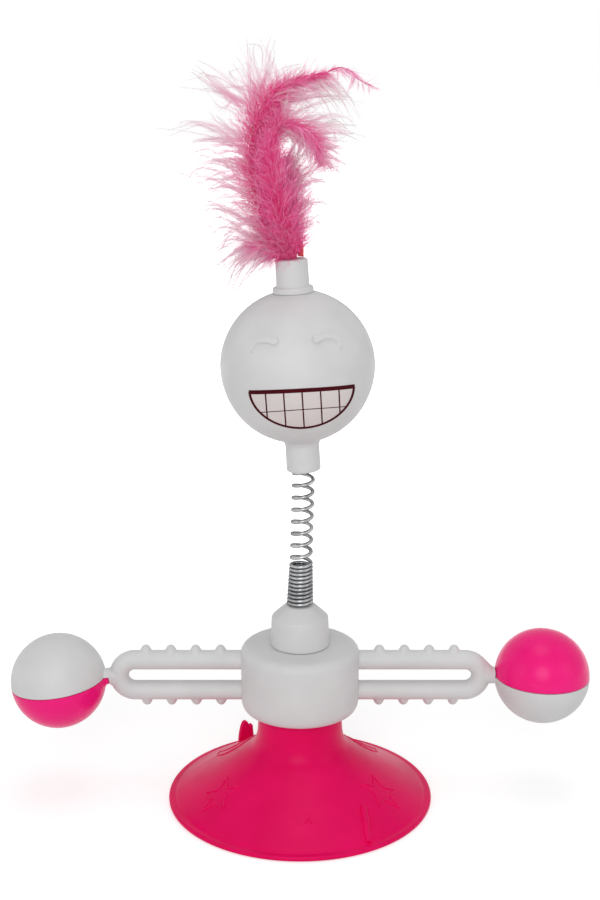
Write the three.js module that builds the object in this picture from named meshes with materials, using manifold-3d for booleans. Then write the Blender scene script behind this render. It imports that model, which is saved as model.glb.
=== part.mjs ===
// Spinning cat toy. A suction cup carries a pin, and a hub with two looped arms turns on the pin.
// Each arm ends in a two-colour ball, and a smiling head with a feather plume stands on a spring.
// Millimetres, +Z up. The origin is the middle of the cup's rim, arms along X, face towards -Y.

import * as THREE from 'three';
import { mergeVertices } from 'three/addons/utils/BufferGeometryUtils.js';
import Module from 'manifold-3d';

const wasm = await Module();
wasm.setup();

// Fits and small edges
const SEAT_GAP = 0.3; // between pieces that rest on each other
const RUN_GAP = 0.3; // around and under what turns
const COVER_CLEARANCE = 0.6; // between the stem's top and the turning cover
const EDGE_BREAK = 0.5; // chamfer on moulded edges

// Suction cup
const CUP_RADIUS = 50;
const LIP_HEIGHT = 1.6; // thickness of the cup at its edge
const LIP_WIDTH = 2.8; // flat bead along the edge
const LIP_STEP = 0.6; // from the bead up to the dome
const SEAL_WIDTH = 3.6; // flat ring that seals on the table
const DOME_HEIGHT = 20.6; // table to where the dome meets the stem
const DOME_BULGE = 1.1; // how far the dome stands above a straight cone
const HOLLOW_DEPTH = 13; // depth of the suction hollow
const HOLLOW_FLOOR = 3; // rubber between the hollow and the insert
const STEM_RADIUS = 15.9; // at its foot
const STEM_DRAFT = 0.45; // how much narrower the stem is at its top
const STEM_HEIGHT = 17; // dome to stem top
const STEM_FILLET = 2.2;
const STEM_WALL = 4.6; // rubber around the insert

// Air release rib and pull tab on the cup
const RIB_RADIUS = 1.4;
const RIB_START = 36; // from the cup's axis
const RIB_LENGTH = 10.6;
const RIB_ANGLE = -53.5; // degrees from +X
const TAB_ANGLE = 117; // degrees from +X
const TAB_WIDTH = 5.2;
const TAB_THICKNESS = 2.2;
const TAB_HEIGHT = 8.6; // above the table
const TAB_INSET = 4; // middle of the tab, from the cup's edge
const LUG_RADIUS = 1.1; // thumb lug beside the tab's tongue
const LUG_DROP = 3; // lug's top below the tongue's top

// Stem insert and pin
const FLANGE_WIDTH = 1.7; // how far the insert's flange and barb stand out
const FLANGE_HEIGHT = 2;
const BARB_HEIGHT = 2;
const BARB_RISE = 8; // insert's foot to the barb
const AXLE_RADIUS = 3;
const AXLE_FLOOR = 2.4; // plastic under the pin
const AXLE_HEAD_RADIUS = 5;
const AXLE_HEAD_HEIGHT = 1.8;
const WASHER_THICKNESS = 0.7;

// Bush in the cover's boss
const BUSH_WALL = 2.2;
const BUSH_FLANGE_WIDTH = 2.1;
const BUSH_FLANGE_HEIGHT = 1.3;
const BUSH_LENGTH = 14.2;
const BOSS_WALL = 2.4;

// Hub
const HUB_RADIUS = 22.2;
const HUB_WALL = 2.2;
const HUB_ROUND = 4; // rounding of its upper and lower edge
const HUB_MARGIN = 2.8; // arm loop to the hub's top and bottom
const STEM_RECESS = 1; // how far the stem reaches into the hub
const COVER_THICKNESS = 2.4;
const COVER_INSET = 4.9; // hub radius less cover radius
const COLLAR_RADIUS = 8; // collar on top that centres the spring seat
const COLLAR_HEIGHT = 4.8;
const SCREW_RADIUS = 1.1;
const SCREW_HEAD_RADIUS = 2.2;
const SCREW_HEAD_HEIGHT = 1.3;
const SCREW_BITE = 8; // length of a cover screw in its post
const SCREW_CIRCLE = 13.2; // cover screws, from the hub's axis
const SCREW_COUNT = 4;
const POST_WALL = 1.5;

// Arms
const RAIL_RADIUS = 3.63; // round bar that forms the loop
const SLOT_HEIGHT = 4.84; // clear slot between the two rails
const ARM_LENGTH = 49.2; // hub to the loop's tip
const NUB_RADIUS = 1.95;
const NUB_COUNT = 4; // on each edge
const NUB_FIRST = 7.45; // hub to the first nub
const NUB_SPACING = 9.3;
const ROOT_DEPTH = 3.6; // loop's root inside the hub wall
const ROOT_INSET = 0.3; // root's plug behind the hub's face
const TONGUE_LENGTH = 8;
const TONGUE_WIDTH = 5.2;
const TONGUE_HEIGHT = 12.4;
const SOCKET_WALL = 1.3;
const HOOK_DEPTH = 0.9; // snap hook behind the socket
const HOOK_RISE = 0.7;

// End balls
const BALL_RADIUS = 17.7;
const BALL_WALL = 1.8;
const NECK_LENGTH = 1.6; // loop's tip to the ball
const NECK_RADIUS = 3.2;
const NECK_CORE_RADIUS = 1.9;
const GUSSET_LENGTH = 3; // taper from the loop's tip to the neck
const GUSSET_RADIUS = 5.6;
const CAP_LIP = 2; // rim of the cap inside the white half
const CAP_LIP_WALL = 1.1;
const COLLAR_REACH = 1.3; // half collar of the left cap along the neck
const LEFT_SAG = 5.5; // degrees that the left neck has sagged
const RIGHT_SAG = 1.5; // degrees that the right neck has sagged
const BELL_RADIUS = 6.5;
const BELL_WALL = 0.6;
const BELL_SLOT = 1.6;

// Spring seat
const SEAT_RADIUS = 10.9; // at the skirt's lower edge
const SEAT_DRAFT = 0.3;
const SEAT_SKIRT = 10.4; // height of the skirt
const SEAT_CONE = 4.7; // height of the cone above it
const SEAT_LIFT = 0.5; // shadow gap between the skirt and the hub
const SEAT_LAND = 1; // flat ring outside the coil
const SPIGOT_HEIGHT = 10.5;
const SPIGOT_TAPER = 1.2;
const SEAT_SCREW_RADIUS = 1.5;
const SEAT_SCREW_HEAD_RADIUS = 3.1;
const SEAT_SCREW_HEAD_HEIGHT = 1.9;
const SEAT_SCREW_BITE = 5.5; // length in the seat above the collar

// Spring
const WIRE_DIAMETER = 1;
const COIL_FOOT_RADIUS = 4.2; // to the wire's middle, at the seat
const COIL_RADIUS = 3.7; // to the wire's middle, in the open turns
const CLOSE_TURNS = 10.2;
const CLOSE_PITCH = 1.45;
const OPEN_TURNS = 7.9;
const OPEN_PITCH = 4.56;
const HIDDEN_TURNS = 2.5; // inside the head's neck
const COIL_START = -66; // degrees from +X
const SPRING_LEAN = 1; // degrees towards +X
const COIL_STEPS = 8; // in a turn
const COIL_SIDES = 5;

// Head
const HEAD_RADIUS = 27.3;
const HEAD_WALL = 2;
const HEAD_LEAN = 3.3; // degrees towards -X
const NECK_FOOT_RADIUS = 5.75; // outside of the head's own neck
const NECK_DROP = 10.2; // neck's foot to the lowest point of the ball
const NECK_FILLET = 1.6;
const REAR_STEP = 0.2; // how far the rear shell stands proud of the front one
const PEG_RADIUS = 1.2; // locating pegs between the shells
const PEG_LENGTH = 4;
const PEG_WALL = 1.3;
const PEG_ANGLES = [25, 155, 215, 325]; // degrees around the head, from +X
const GRIP_HEIGHT = 2.4; // spring plug's flange in the neck's groove
const GRIP_WIDTH = 0.5;

// Feather holder and feather
const HOLDER_RADIUS = 5.75;
const HOLDER_RISE = 11; // ball's top to the holder's top, along its axis
const HOLDER_COLLAR_WIDTH = 1.4;
const HOLDER_COLLAR_HEIGHT = 1.8;
const HOLDER_WAIST = 1.6; // how much narrower it is through the shells
const HOLDER_FOOT_HEIGHT = 2.4;
const QUILL_RADIUS = 1.1;
const QUILL_DEPTH = 9; // in the holder
const QUILL_RISE = 4; // above the binding
const BINDING_RADIUS = 2.1;
const BINDING_HEIGHT = 5.4;
const KNOT_SHIFT = 1.9; // knot's middle from the quill, towards +X
const PLUME_HEIGHT = 62; // holder's top to the middle of the plume's crest
const PLUME_SWEEP = 12.6; // how far its back bows towards -X
const PLUME_CURL = 32; // how far its tip falls over towards +X
const PLUME_BREADTH = 12.5; // half its width at the widest
const PLUME_DEPTH = 8.5; // half its depth at the widest
const PLUME_FOOT = 4.2; // half its width at the holder
const PLUME_TIP = 1.5; // half its width at the tip

// Facets
const AROUND_LARGE = 30;
const AROUND_MEDIUM = 22;
const AROUND_SMALL = 16;
const AROUND_TINY = 10;
const FAR = 400; // larger than the whole toy

const WHITE = { color: 0xe4e4e6, roughness: 0.42, metalness: 0 };
const PINK = { color: 0xe8247a, roughness: 0.3, metalness: 0 };
const RUBBER_PINK = { color: 0xd81156, roughness: 0.45, metalness: 0 };
const STEEL = { color: 0xb9bcc0, roughness: 0.25, metalness: 1 };
const BRASS = { color: 0xc9a24a, roughness: 0.3, metalness: 1 };
const NATURAL = { color: 0xdedcd2, roughness: 0.5, metalness: 0 };
const FEATHER_PINK = { color: 0xd8458c, roughness: 0.9, metalness: 0 };
const THREAD_RED = { color: 0xd8352a, roughness: 0.6, metalness: 0 };

const radians = THREE.MathUtils.degToRad;
const degrees = THREE.MathUtils.radToDeg;

// Heights and radii worked out from the sizes above, from the table upwards
const domeEdge = CUP_RADIUS - LIP_WIDTH;
const domeFoot = LIP_HEIGHT + LIP_STEP;
const insertRadius = STEM_RADIUS - STEM_WALL;
const flangeRadius = insertRadius + FLANGE_WIDTH;
const stemTop = DOME_HEIGHT + STEM_HEIGHT;
const insertFoot = HOLLOW_DEPTH + HOLLOW_FLOOR + SEAT_GAP;
const barbFoot = insertFoot + BARB_RISE;
const washerFoot = stemTop + RUN_GAP;
const bushFoot = washerFoot + WASHER_THICKNESS + RUN_GAP;
const axleBore = AXLE_RADIUS + RUN_GAP;
const bushRadius = axleBore + BUSH_WALL;
const bushFlangeRadius = bushRadius + BUSH_FLANGE_WIDTH;
const bushTop = bushFoot + BUSH_LENGTH;
const upperWasherFoot = bushTop + RUN_GAP;
const axleHeadFoot = upperWasherFoot + WASHER_THICKNESS + RUN_GAP;
const coverFoot = stemTop + COVER_CLEARANCE;
const coverTop = coverFoot + COVER_THICKNESS;
const coverRadius = HUB_RADIUS - COVER_INSET;
const bossRadius = bushRadius + SEAT_GAP + BOSS_WALL;
const hubFoot = stemTop - STEM_RECESS;
const hubTop = hubFoot + SLOT_HEIGHT + 4 * RAIL_RADIUS + 2 * HUB_MARGIN;
const hubCeiling = hubTop - HUB_WALL;
const armHeight = (hubFoot + hubTop) / 2;
const railOffset = SLOT_HEIGHT / 2 + RAIL_RADIUS;
const rootInner = HUB_RADIUS - ROOT_INSET - ROOT_DEPTH;
const tongueInner = rootInner - TONGUE_LENGTH;
const armTip = HUB_RADIUS + ARM_LENGTH;
const ballMiddle = NECK_LENGTH + BALL_RADIUS; // from the loop's tip
const collarTop = hubTop + COLLAR_HEIGHT;
const seatFoot = hubTop + SEAT_LIFT;
const seatShoulder = seatFoot + SEAT_SKIRT;
const seatTop = seatShoulder + SEAT_CONE;
const spigotRadius = COIL_RADIUS - WIRE_DIAMETER / 2 - SEAT_GAP;
const coilFoot = seatTop + SEAT_GAP + WIRE_DIAMETER;
const neckFoot = coilFoot + CLOSE_TURNS * CLOSE_PITCH + OPEN_TURNS * OPEN_PITCH;
const neckShift = Math.tan(radians(SPRING_LEAN)) * (neckFoot - coilFoot);
const neckBore = COIL_RADIUS + WIRE_DIAMETER / 2 + SEAT_GAP;
const gripFoot = HIDDEN_TURNS * CLOSE_PITCH + WIRE_DIAMETER + 2 * SEAT_GAP; // above the neck's foot
const headMiddle = NECK_DROP + HEAD_RADIUS; // above the neck's foot
const holderTop = headMiddle + HEAD_RADIUS + HOLDER_RISE;
const bindingFoot = holderTop + SEAT_GAP;
const bindingTop = bindingFoot + BINDING_HEIGHT;

// A closed mesh as a solid: shared vertices merged, empty triangles left out, faces outward.
function solidOf(geometry) {
  const bare = new THREE.BufferGeometry();
  bare.setAttribute('position', geometry.getAttribute('position'));
  bare.setIndex(geometry.index);
  const merged = mergeVertices(bare);
  const vertProperties = Float32Array.from(merged.getAttribute('position').array);
  const triangles = [];
  let volume = 0;
  const corner = [new THREE.Vector3(), new THREE.Vector3(), new THREE.Vector3()];
  for (let i = 0; i < merged.index.count; i += 3) {
    const indices = [0, 1, 2].map((k) => merged.index.getX(i + k));
    if (new Set(indices).size === 3) {
      triangles.push(...indices);
      indices.forEach((index, k) => corner[k].fromArray(vertProperties, 3 * index));
      volume += corner[0].dot(corner[1].cross(corner[2]));
    }
  }
  if (volume < 0) triangles.reverse();
  const triVerts = Uint32Array.from(triangles);
  return new wasm.Manifold(new wasm.Mesh({ numProp: 3, vertProperties, triVerts }));
}

function geometryOf(solid) {
  const mesh = solid.getMesh();
  const geometry = new THREE.BufferGeometry();
  geometry.setAttribute('position', new THREE.BufferAttribute(mesh.vertProperties, 3));
  geometry.setIndex(new THREE.BufferAttribute(mesh.triVerts, 1));
  geometry.computeVertexNormals();
  return geometry;
}

function piece(name, solid, finish) {
  const mesh = new THREE.Mesh(geometryOf(solid), new THREE.MeshStandardMaterial(finish));
  mesh.name = name;
  return mesh;
}

// A turned solid about Z. Its profile of [radius, height] pairs starts and ends on the axis,
// or closes on itself.
function turned(profile, around) {
  const points = profile.map(([radius, height]) => new THREE.Vector2(radius, height));
  const onAxis = profile[0][0] === 0 && profile[profile.length - 1][0] === 0;
  if (!onAxis) points.push(points[0].clone());
  return solidOf(new THREE.LatheGeometry(points, around).rotateX(Math.PI / 2));
}

// Points along a circular arc, from one angle to another in degrees, both ends included.
function arc([x, y], radius, from, to, steps) {
  return Array.from({ length: steps + 1 }, (_, i) => {
    const angle = radians(from + ((to - from) * i) / steps);
    return [x + radius * Math.cos(angle), y + radius * Math.sin(angle)];
  });
}

function rod(radius, foot, top, around = AROUND_SMALL) {
  return turned([[0, foot], [radius, foot], [radius, top], [0, top]], around);
}

function rodAlongX(radius, from, to, around = AROUND_SMALL) {
  return rod(radius, from, to, around).rotate([0, 90, 0]);
}

function ring(inner, outer, foot, top, around = AROUND_SMALL) {
  return turned([[inner, foot], [outer, foot], [outer, top], [inner, top]], around);
}

function ball(radius, around, steps) {
  return solidOf(new THREE.SphereGeometry(radius, around, steps).rotateX(Math.PI / 2));
}

// A block between two values of X, its width and height centred on the X axis.
function bar(from, to, width, height) {
  return solidOf(new THREE.BoxGeometry(to - from, width, height)).translate([(from + to) / 2, 0, 0]);
}

// All space beyond a plane square to an axis: direction 1 is above the value, -1 below it.
function beyond(axis, value, direction) {
  const middle = [0, 0, 0];
  middle['xyz'.indexOf(axis)] = value + (direction * FAR) / 2;
  return solidOf(new THREE.BoxGeometry(FAR, FAR, FAR)).translate(middle);
}

// A closed solid from rings of equally many points, joined in order and capped at both ends.
function skin(rings) {
  const sides = rings[0].length;
  const triangles = [];
  for (let i = 0; i < rings.length - 1; i += 1) {
    for (let k = 0; k < sides; k += 1) {
      const a = i * sides + k;
      const b = i * sides + ((k + 1) % sides);
      triangles.push(a, b, b + sides, a, b + sides, a + sides);
    }
  }
  const last = (rings.length - 1) * sides;
  for (let k = 1; k < sides - 1; k += 1) {
    triangles.push(0, k + 1, k, last, last + k, last + k + 1);
  }
  const vertices = rings.flat().flatMap((point) => point.toArray());
  const geometry = new THREE.BufferGeometry();
  geometry.setAttribute('position', new THREE.Float32BufferAttribute(vertices, 3));
  geometry.setIndex(triangles);
  return solidOf(geometry);
}

// A round bar along a polyline, with a true mitre at each bend.
function bentBar(path, radius, sides) {
  const directions = path.slice(1).map((point, i) => point.clone().sub(path[i]).normalize());
  const across = new THREE.Vector3(0, 1, 0).cross(directions[0]);
  if (across.length() < 0.1) across.set(1, 0, 0);
  across.normalize();
  const upright = directions[0].clone().cross(across);
  const first = Array.from({ length: sides }, (_, k) => {
    const angle = (2 * Math.PI * k) / sides;
    return path[0].clone()
      .addScaledVector(across, radius * Math.cos(angle))
      .addScaledVector(upright, radius * Math.sin(angle));
  });
  const rings = [first];
  for (let i = 1; i < path.length; i += 1) {
    const along = directions[i - 1];
    const mitre = along.clone().add(directions[i] ?? along).normalize();
    rings.push(rings[i - 1].map((point) => {
      const travel = path[i].clone().sub(point).dot(mitre) / along.dot(mitre);
      return point.clone().addScaledVector(along, travel);
    }));
  }
  return skin(rings);
}

// Height of the cup's outer face at a distance from its axis: a cone with a little bulge.
function domeHeight(radius) {
  const share = (domeEdge - radius) / (domeEdge - STEM_RADIUS);
  return domeFoot + (DOME_HEIGHT - domeFoot) * share + 4 * DOME_BULGE * share * (1 - share);
}

// Profile of the socket for the insert, from the stem's top down to the socket's floor.
function insertSocket() {
  const bore = insertRadius + SEAT_GAP;
  const wide = flangeRadius + SEAT_GAP;
  return [
    [wide, stemTop],
    [wide, stemTop - FLANGE_HEIGHT - SEAT_GAP],
    [bore, stemTop - FLANGE_HEIGHT - SEAT_GAP],
    [bore, barbFoot + BARB_HEIGHT + SEAT_GAP],
    [wide, barbFoot + BARB_HEIGHT + SEAT_GAP],
    [wide, barbFoot - SEAT_GAP],
    [bore, barbFoot - SEAT_GAP],
    [bore, insertFoot - SEAT_GAP],
    [0, insertFoot - SEAT_GAP],
  ];
}

function suctionCup() {
  const steps = 5;
  const hollowEdge = CUP_RADIUS - SEAL_WIDTH;
  const hollow = Array.from({ length: steps + 1 }, (_, i) => {
    const share = i / steps;
    return [hollowEdge * share, HOLLOW_DEPTH * (1 - share * share)];
  });
  const filletEdge = STEM_RADIUS + STEM_FILLET;
  const dome = Array.from({ length: steps + 1 }, (_, i) => {
    const radius = domeEdge + ((filletEdge - domeEdge) * i) / steps;
    return [radius, domeHeight(radius)];
  });
  const filletTop = domeHeight(filletEdge) + 1.3 * STEM_FILLET;
  const stemTopRadius = STEM_RADIUS - STEM_DRAFT;
  const body = turned([
    ...hollow,
    [CUP_RADIUS - EDGE_BREAK, 0],
    [CUP_RADIUS, EDGE_BREAK],
    [CUP_RADIUS, LIP_HEIGHT - EDGE_BREAK],
    [CUP_RADIUS - EDGE_BREAK, LIP_HEIGHT],
    [domeEdge + EDGE_BREAK, LIP_HEIGHT],
    ...dome,
    [STEM_RADIUS + 0.3 * STEM_FILLET, filletTop - 0.7 * STEM_FILLET],
    [STEM_RADIUS, filletTop],
    [stemTopRadius, stemTop - EDGE_BREAK],
    [stemTopRadius - EDGE_BREAK, stemTop],
    ...insertSocket(),
  ], AROUND_LARGE);
  return body.add(releaseRib()).add(pullTab());
}

// A half-round rib that lies on the dome and runs down to the bead.
function releaseRib() {
  const radii = [RIB_START, Math.min(RIB_START + RIB_LENGTH, domeEdge)];
  const path = radii.map((radius) => new THREE.Vector3(radius, 0, domeHeight(radius)));
  const roundEnd = ball(RIB_RADIUS, AROUND_TINY, 6).translate(path[0].toArray());
  return bentBar(path, RIB_RADIUS, AROUND_TINY).add(roundEnd).rotate([0, 0, RIB_ANGLE]);
}

// A round-topped tongue that stands on the rim at the back, with a thumb lug beside it.
function pullTab() {
  const foot = LIP_HEIGHT / 2;
  const tongueRadius = TAB_WIDTH / 2;
  const outline = new THREE.Shape();
  outline.moveTo(-tongueRadius, foot);
  outline.lineTo(tongueRadius, foot);
  outline.absarc(0, TAB_HEIGHT - tongueRadius, tongueRadius, 0, Math.PI, false);
  outline.closePath();
  const options = { depth: TAB_THICKNESS, bevelEnabled: false, curveSegments: 6 };
  const tongue = new THREE.ExtrudeGeometry(outline, options).rotateX(Math.PI / 2);
  const lugTop = TAB_HEIGHT - LUG_DROP;
  const lug = rod(LUG_RADIUS, foot, lugTop, AROUND_TINY)
    .add(ball(LUG_RADIUS, AROUND_TINY, 6).translate([0, 0, lugTop]))
    .translate([tongueRadius + LUG_RADIUS / 2, -TAB_THICKNESS / 2, 0]);
  return solidOf(tongue).add(lug)
    .translate([0, CUP_RADIUS - TAB_INSET + TAB_THICKNESS / 2, 0])
    .rotate([0, 0, TAB_ANGLE - 90]);
}

function stemInsert() {
  const bore = AXLE_RADIUS + SEAT_GAP;
  return turned([
    [0, insertFoot],
    [insertRadius - EDGE_BREAK, insertFoot],
    [insertRadius, insertFoot + EDGE_BREAK],
    [insertRadius, barbFoot],
    [flangeRadius, barbFoot],
    [flangeRadius, barbFoot + BARB_HEIGHT],
    [insertRadius, barbFoot + BARB_HEIGHT],
    [insertRadius, stemTop - FLANGE_HEIGHT],
    [flangeRadius, stemTop - FLANGE_HEIGHT],
    [flangeRadius, stemTop],
    [bore, stemTop],
    [bore, insertFoot + AXLE_FLOOR],
    [0, insertFoot + AXLE_FLOOR],
  ], AROUND_SMALL);
}

function axlePin() {
  const foot = insertFoot + AXLE_FLOOR + SEAT_GAP;
  const headTop = axleHeadFoot + AXLE_HEAD_HEIGHT;
  return turned([
    [0, foot],
    [AXLE_RADIUS - EDGE_BREAK, foot],
    [AXLE_RADIUS, foot + EDGE_BREAK],
    [AXLE_RADIUS, axleHeadFoot],
    [AXLE_HEAD_RADIUS, axleHeadFoot],
    [AXLE_HEAD_RADIUS, headTop - EDGE_BREAK],
    [AXLE_HEAD_RADIUS - EDGE_BREAK, headTop],
    [0, headTop],
  ], AROUND_SMALL);
}

function washer(outer, foot) {
  return ring(axleBore, outer, foot, foot + WASHER_THICKNESS);
}

function bearingBush() {
  return turned([
    [axleBore, bushFoot],
    [bushFlangeRadius, bushFoot],
    [bushFlangeRadius, bushFoot + BUSH_FLANGE_HEIGHT],
    [bushRadius, bushFoot + BUSH_FLANGE_HEIGHT],
    [bushRadius, bushTop],
    [axleBore, bushTop],
  ], AROUND_SMALL);
}

function screwPlaces() {
  return Array.from({ length: SCREW_COUNT }, (_, i) => {
    const angle = (2 * Math.PI * (i + 0.5)) / SCREW_COUNT;
    return [SCREW_CIRCLE * Math.cos(angle), SCREW_CIRCLE * Math.sin(angle), 0];
  });
}

// The cover closes the hub from below, and its boss holds the bush.
function hubCover() {
  const counterbore = bushFlangeRadius + SEAT_GAP;
  const counterboreTop = bushFoot + BUSH_FLANGE_HEIGHT + SEAT_GAP;
  const bossTop = bushTop - SEAT_GAP;
  let cover = turned([
    [counterbore, coverFoot],
    [coverRadius, coverFoot],
    [coverRadius, coverTop],
    [bossRadius, coverTop],
    [bossRadius, bossTop],
    [bushRadius + SEAT_GAP, bossTop],
    [bushRadius + SEAT_GAP, counterboreTop],
    [counterbore, counterboreTop],
  ], AROUND_MEDIUM);
  const sunkTop = coverFoot + SCREW_HEAD_HEIGHT + SEAT_GAP;
  const hole = rod(SCREW_RADIUS + SEAT_GAP, 0, FAR, AROUND_TINY)
    .add(rod(SCREW_HEAD_RADIUS + SEAT_GAP, 0, sunkTop, AROUND_TINY));
  for (const place of screwPlaces()) {
    cover = cover.subtract(hole.translate(place));
  }
  return cover;
}

// A pan-head screw with its point up. Its head starts at height 0.
function screw(radius, headRadius, headHeight, length) {
  return turned([
    [0, 0],
    [headRadius - EDGE_BREAK, 0],
    [headRadius, EDGE_BREAK],
    [headRadius, headHeight],
    [radius, headHeight],
    [radius, headHeight + length - radius],
    [0, headHeight + length],
  ], AROUND_TINY);
}

// A bar along X with the outline of the whole loop, where the loop's root fills the hub's wall.
function loopRoot(from, to, clearance) {
  const outline = new THREE.Shape();
  outline.absarc(0, railOffset, RAIL_RADIUS + clearance, 0, Math.PI, false);
  outline.absarc(0, -railOffset, RAIL_RADIUS + clearance, Math.PI, 2 * Math.PI, false);
  outline.closePath();
  const options = { depth: to - from, bevelEnabled: false, curveSegments: 8 };
  const root = new THREE.ExtrudeGeometry(outline, options);
  return solidOf(root.rotateX(Math.PI / 2).rotateZ(Math.PI / 2)).translate([from, 0, 0]);
}

// The room that an arm's root, tongue and hook need in the hub, in the arm's own frame.
function armRoom() {
  const gap = 2 * SEAT_GAP;
  const inner = tongueInner - HOOK_DEPTH - SEAT_GAP;
  return bar(inner, rootInner, TONGUE_WIDTH + gap, TONGUE_HEIGHT + gap)
    .add(loopRoot(rootInner - SEAT_GAP, armTip, SEAT_GAP));
}

// Walls of the socket that grips an arm's tongue, ending just short of the hook.
function armSocket() {
  const wall = 2 * (SEAT_GAP + SOCKET_WALL);
  const outer = HUB_RADIUS - HUB_WALL + EDGE_BREAK;
  return bar(tongueInner + SEAT_GAP, outer, TONGUE_WIDTH + wall, TONGUE_HEIGHT + wall);
}

function hubHousing() {
  const mouth = coverRadius + SEAT_GAP;
  const inside = HUB_RADIUS - HUB_WALL;
  const core = HUB_RADIUS - HUB_ROUND;
  const screwHole = SEAT_SCREW_RADIUS + SEAT_GAP;
  const postHole = SCREW_RADIUS + SEAT_GAP;
  const postFoot = coverTop + SEAT_GAP;
  const postTop = hubCeiling + EDGE_BREAK;
  let housing = turned([
    [mouth, hubFoot],
    ...arc([core, hubFoot + HUB_ROUND], HUB_ROUND, -90, 0, 4),
    ...arc([core, hubTop - HUB_ROUND], HUB_ROUND, 0, 90, 4),
    [COLLAR_RADIUS, hubTop],
    [COLLAR_RADIUS, collarTop - EDGE_BREAK],
    [COLLAR_RADIUS - EDGE_BREAK, collarTop],
    [screwHole, collarTop],
    [screwHole, hubCeiling],
    [inside, hubCeiling],
    [inside, hubFoot + HUB_ROUND + EDGE_BREAK],
    [mouth, hubFoot + HUB_WALL],
  ], AROUND_LARGE);
  const post = ring(postHole, postHole + POST_WALL, postFoot, postTop, AROUND_TINY)
    .add(rod(postHole, postFoot + SCREW_BITE + SEAT_GAP, postTop, AROUND_TINY));
  for (const place of screwPlaces()) {
    housing = housing.add(post.translate(place));
  }
  for (const turn of [0, 180]) {
    housing = housing.add(armSocket().rotate([0, 0, turn]).translate([0, 0, armHeight]));
  }
  for (const turn of [0, 180]) {
    housing = housing.subtract(armRoom().rotate([0, 0, turn]).translate([0, 0, armHeight]));
  }
  return housing;
}

// The loop, its nubs, and the root that snaps into the hub. Runs along +X.
function armLoop() {
  const rootMiddle = HUB_RADIUS - ROOT_INSET - ROOT_DEPTH / 2;
  const turn = arc([armTip - RAIL_RADIUS - railOffset, 0], railOffset, 90, -90, 10);
  const path = [[rootMiddle, railOffset], ...turn, [rootMiddle, -railOffset]]
    .map(([x, z]) => new THREE.Vector3(x, 0, z));
  const hookInner = tongueInner - HOOK_DEPTH;
  let loop = bentBar(path, RAIL_RADIUS, AROUND_SMALL - 2)
    .add(loopRoot(rootInner, HUB_RADIUS - ROOT_INSET, 0))
    .add(bar(hookInner, rootInner + EDGE_BREAK, TONGUE_WIDTH, TONGUE_HEIGHT))
    .add(bar(hookInner, tongueInner, TONGUE_WIDTH, TONGUE_HEIGHT + 2 * HOOK_RISE));
  const nub = ball(NUB_RADIUS, 8, 6);
  const edge = railOffset + RAIL_RADIUS;
  for (let i = 0; i < NUB_COUNT; i += 1) {
    const x = HUB_RADIUS + NUB_FIRST + i * NUB_SPACING;
    loop = loop.add(nub.translate([x, 0, edge])).add(nub.translate([x, 0, -edge]));
  }
  return loop;
}

// One half of an end ball, as a bowl below the parting plane.
function bowl() {
  return turned([
    ...arc([0, 0], BALL_RADIUS - BALL_WALL, 0, -90, 5),
    ...arc([0, 0], BALL_RADIUS, -90, 0, 6),
  ], AROUND_MEDIUM).subtract(beyond('z', -SEAT_GAP / 2, 1)).translate([ballMiddle, 0, 0]);
}

// The neck and the white half ball, from the loop's tip along +X. The pink side is up.
function armEnd(collarReach) {
  const pinkStart = NECK_LENGTH - collarReach - SEAT_GAP;
  const pinkRoom = beyond('x', pinkStart, 1).intersect(beyond('z', -SEAT_GAP / 2, 1));
  const sleeve = rodAlongX(NECK_RADIUS, -RAIL_RADIUS, NECK_LENGTH + BALL_WALL).subtract(pinkRoom);
  const core = rodAlongX(NECK_CORE_RADIUS, -RAIL_RADIUS, NECK_LENGTH + 2 * BALL_WALL);
  const gusset = turned([
    [0, -GUSSET_LENGTH],
    [GUSSET_RADIUS, -GUSSET_LENGTH],
    [NECK_RADIUS, 0],
    [0, 0],
  ], AROUND_SMALL).rotate([0, 90, 0]).intersect(beyond('z', 0, 1))
    .intersect(bar(-GUSSET_LENGTH, 0, 2 * RAIL_RADIUS, FAR));
  const inside = ball(BALL_RADIUS - BALL_WALL, AROUND_MEDIUM, 10).translate([ballMiddle, 0, 0]);
  return sleeve.add(core).add(gusset).subtract(inside).add(bowl());
}

function arm(sag, collarReach) {
  return armLoop().add(armEnd(collarReach).rotate([0, sag, 0]).translate([armTip, 0, 0]));
}

// The pink cap above the parting plane, its lip inside the white half. Same frame as armEnd.
function ballCap(collarReach) {
  const lipRadius = BALL_RADIUS - BALL_WALL - SEAT_GAP;
  const lip = turned([
    [lipRadius - CAP_LIP_WALL, -CAP_LIP],
    [lipRadius - SEAT_GAP, -CAP_LIP],
    [lipRadius, SEAT_GAP],
    [lipRadius + CAP_LIP_WALL, 2 * SEAT_GAP],
    [lipRadius, CAP_LIP],
    [lipRadius - CAP_LIP_WALL, CAP_LIP],
  ], AROUND_MEDIUM).translate([ballMiddle, 0, 0]);
  const neckEnd = NECK_LENGTH + 3 * BALL_WALL;
  const coreRoom = rodAlongX(NECK_CORE_RADIUS + SEAT_GAP, -RAIL_RADIUS, neckEnd);
  const neckRoom = rodAlongX(NECK_RADIUS + SEAT_GAP, -RAIL_RADIUS, neckEnd)
    .intersect(beyond('z', 0, -1));
  const cap = bowl().rotate([180, 0, 0]).add(lip).subtract(neckRoom).subtract(coreRoom);
  if (collarReach === 0) return cap;
  const collar = ring(NECK_CORE_RADIUS + SEAT_GAP, NECK_RADIUS, NECK_LENGTH - collarReach, neckEnd)
    .rotate([0, 90, 0]).intersect(beyond('z', SEAT_GAP / 2, 1));
  return cap.add(collar);
}

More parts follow.
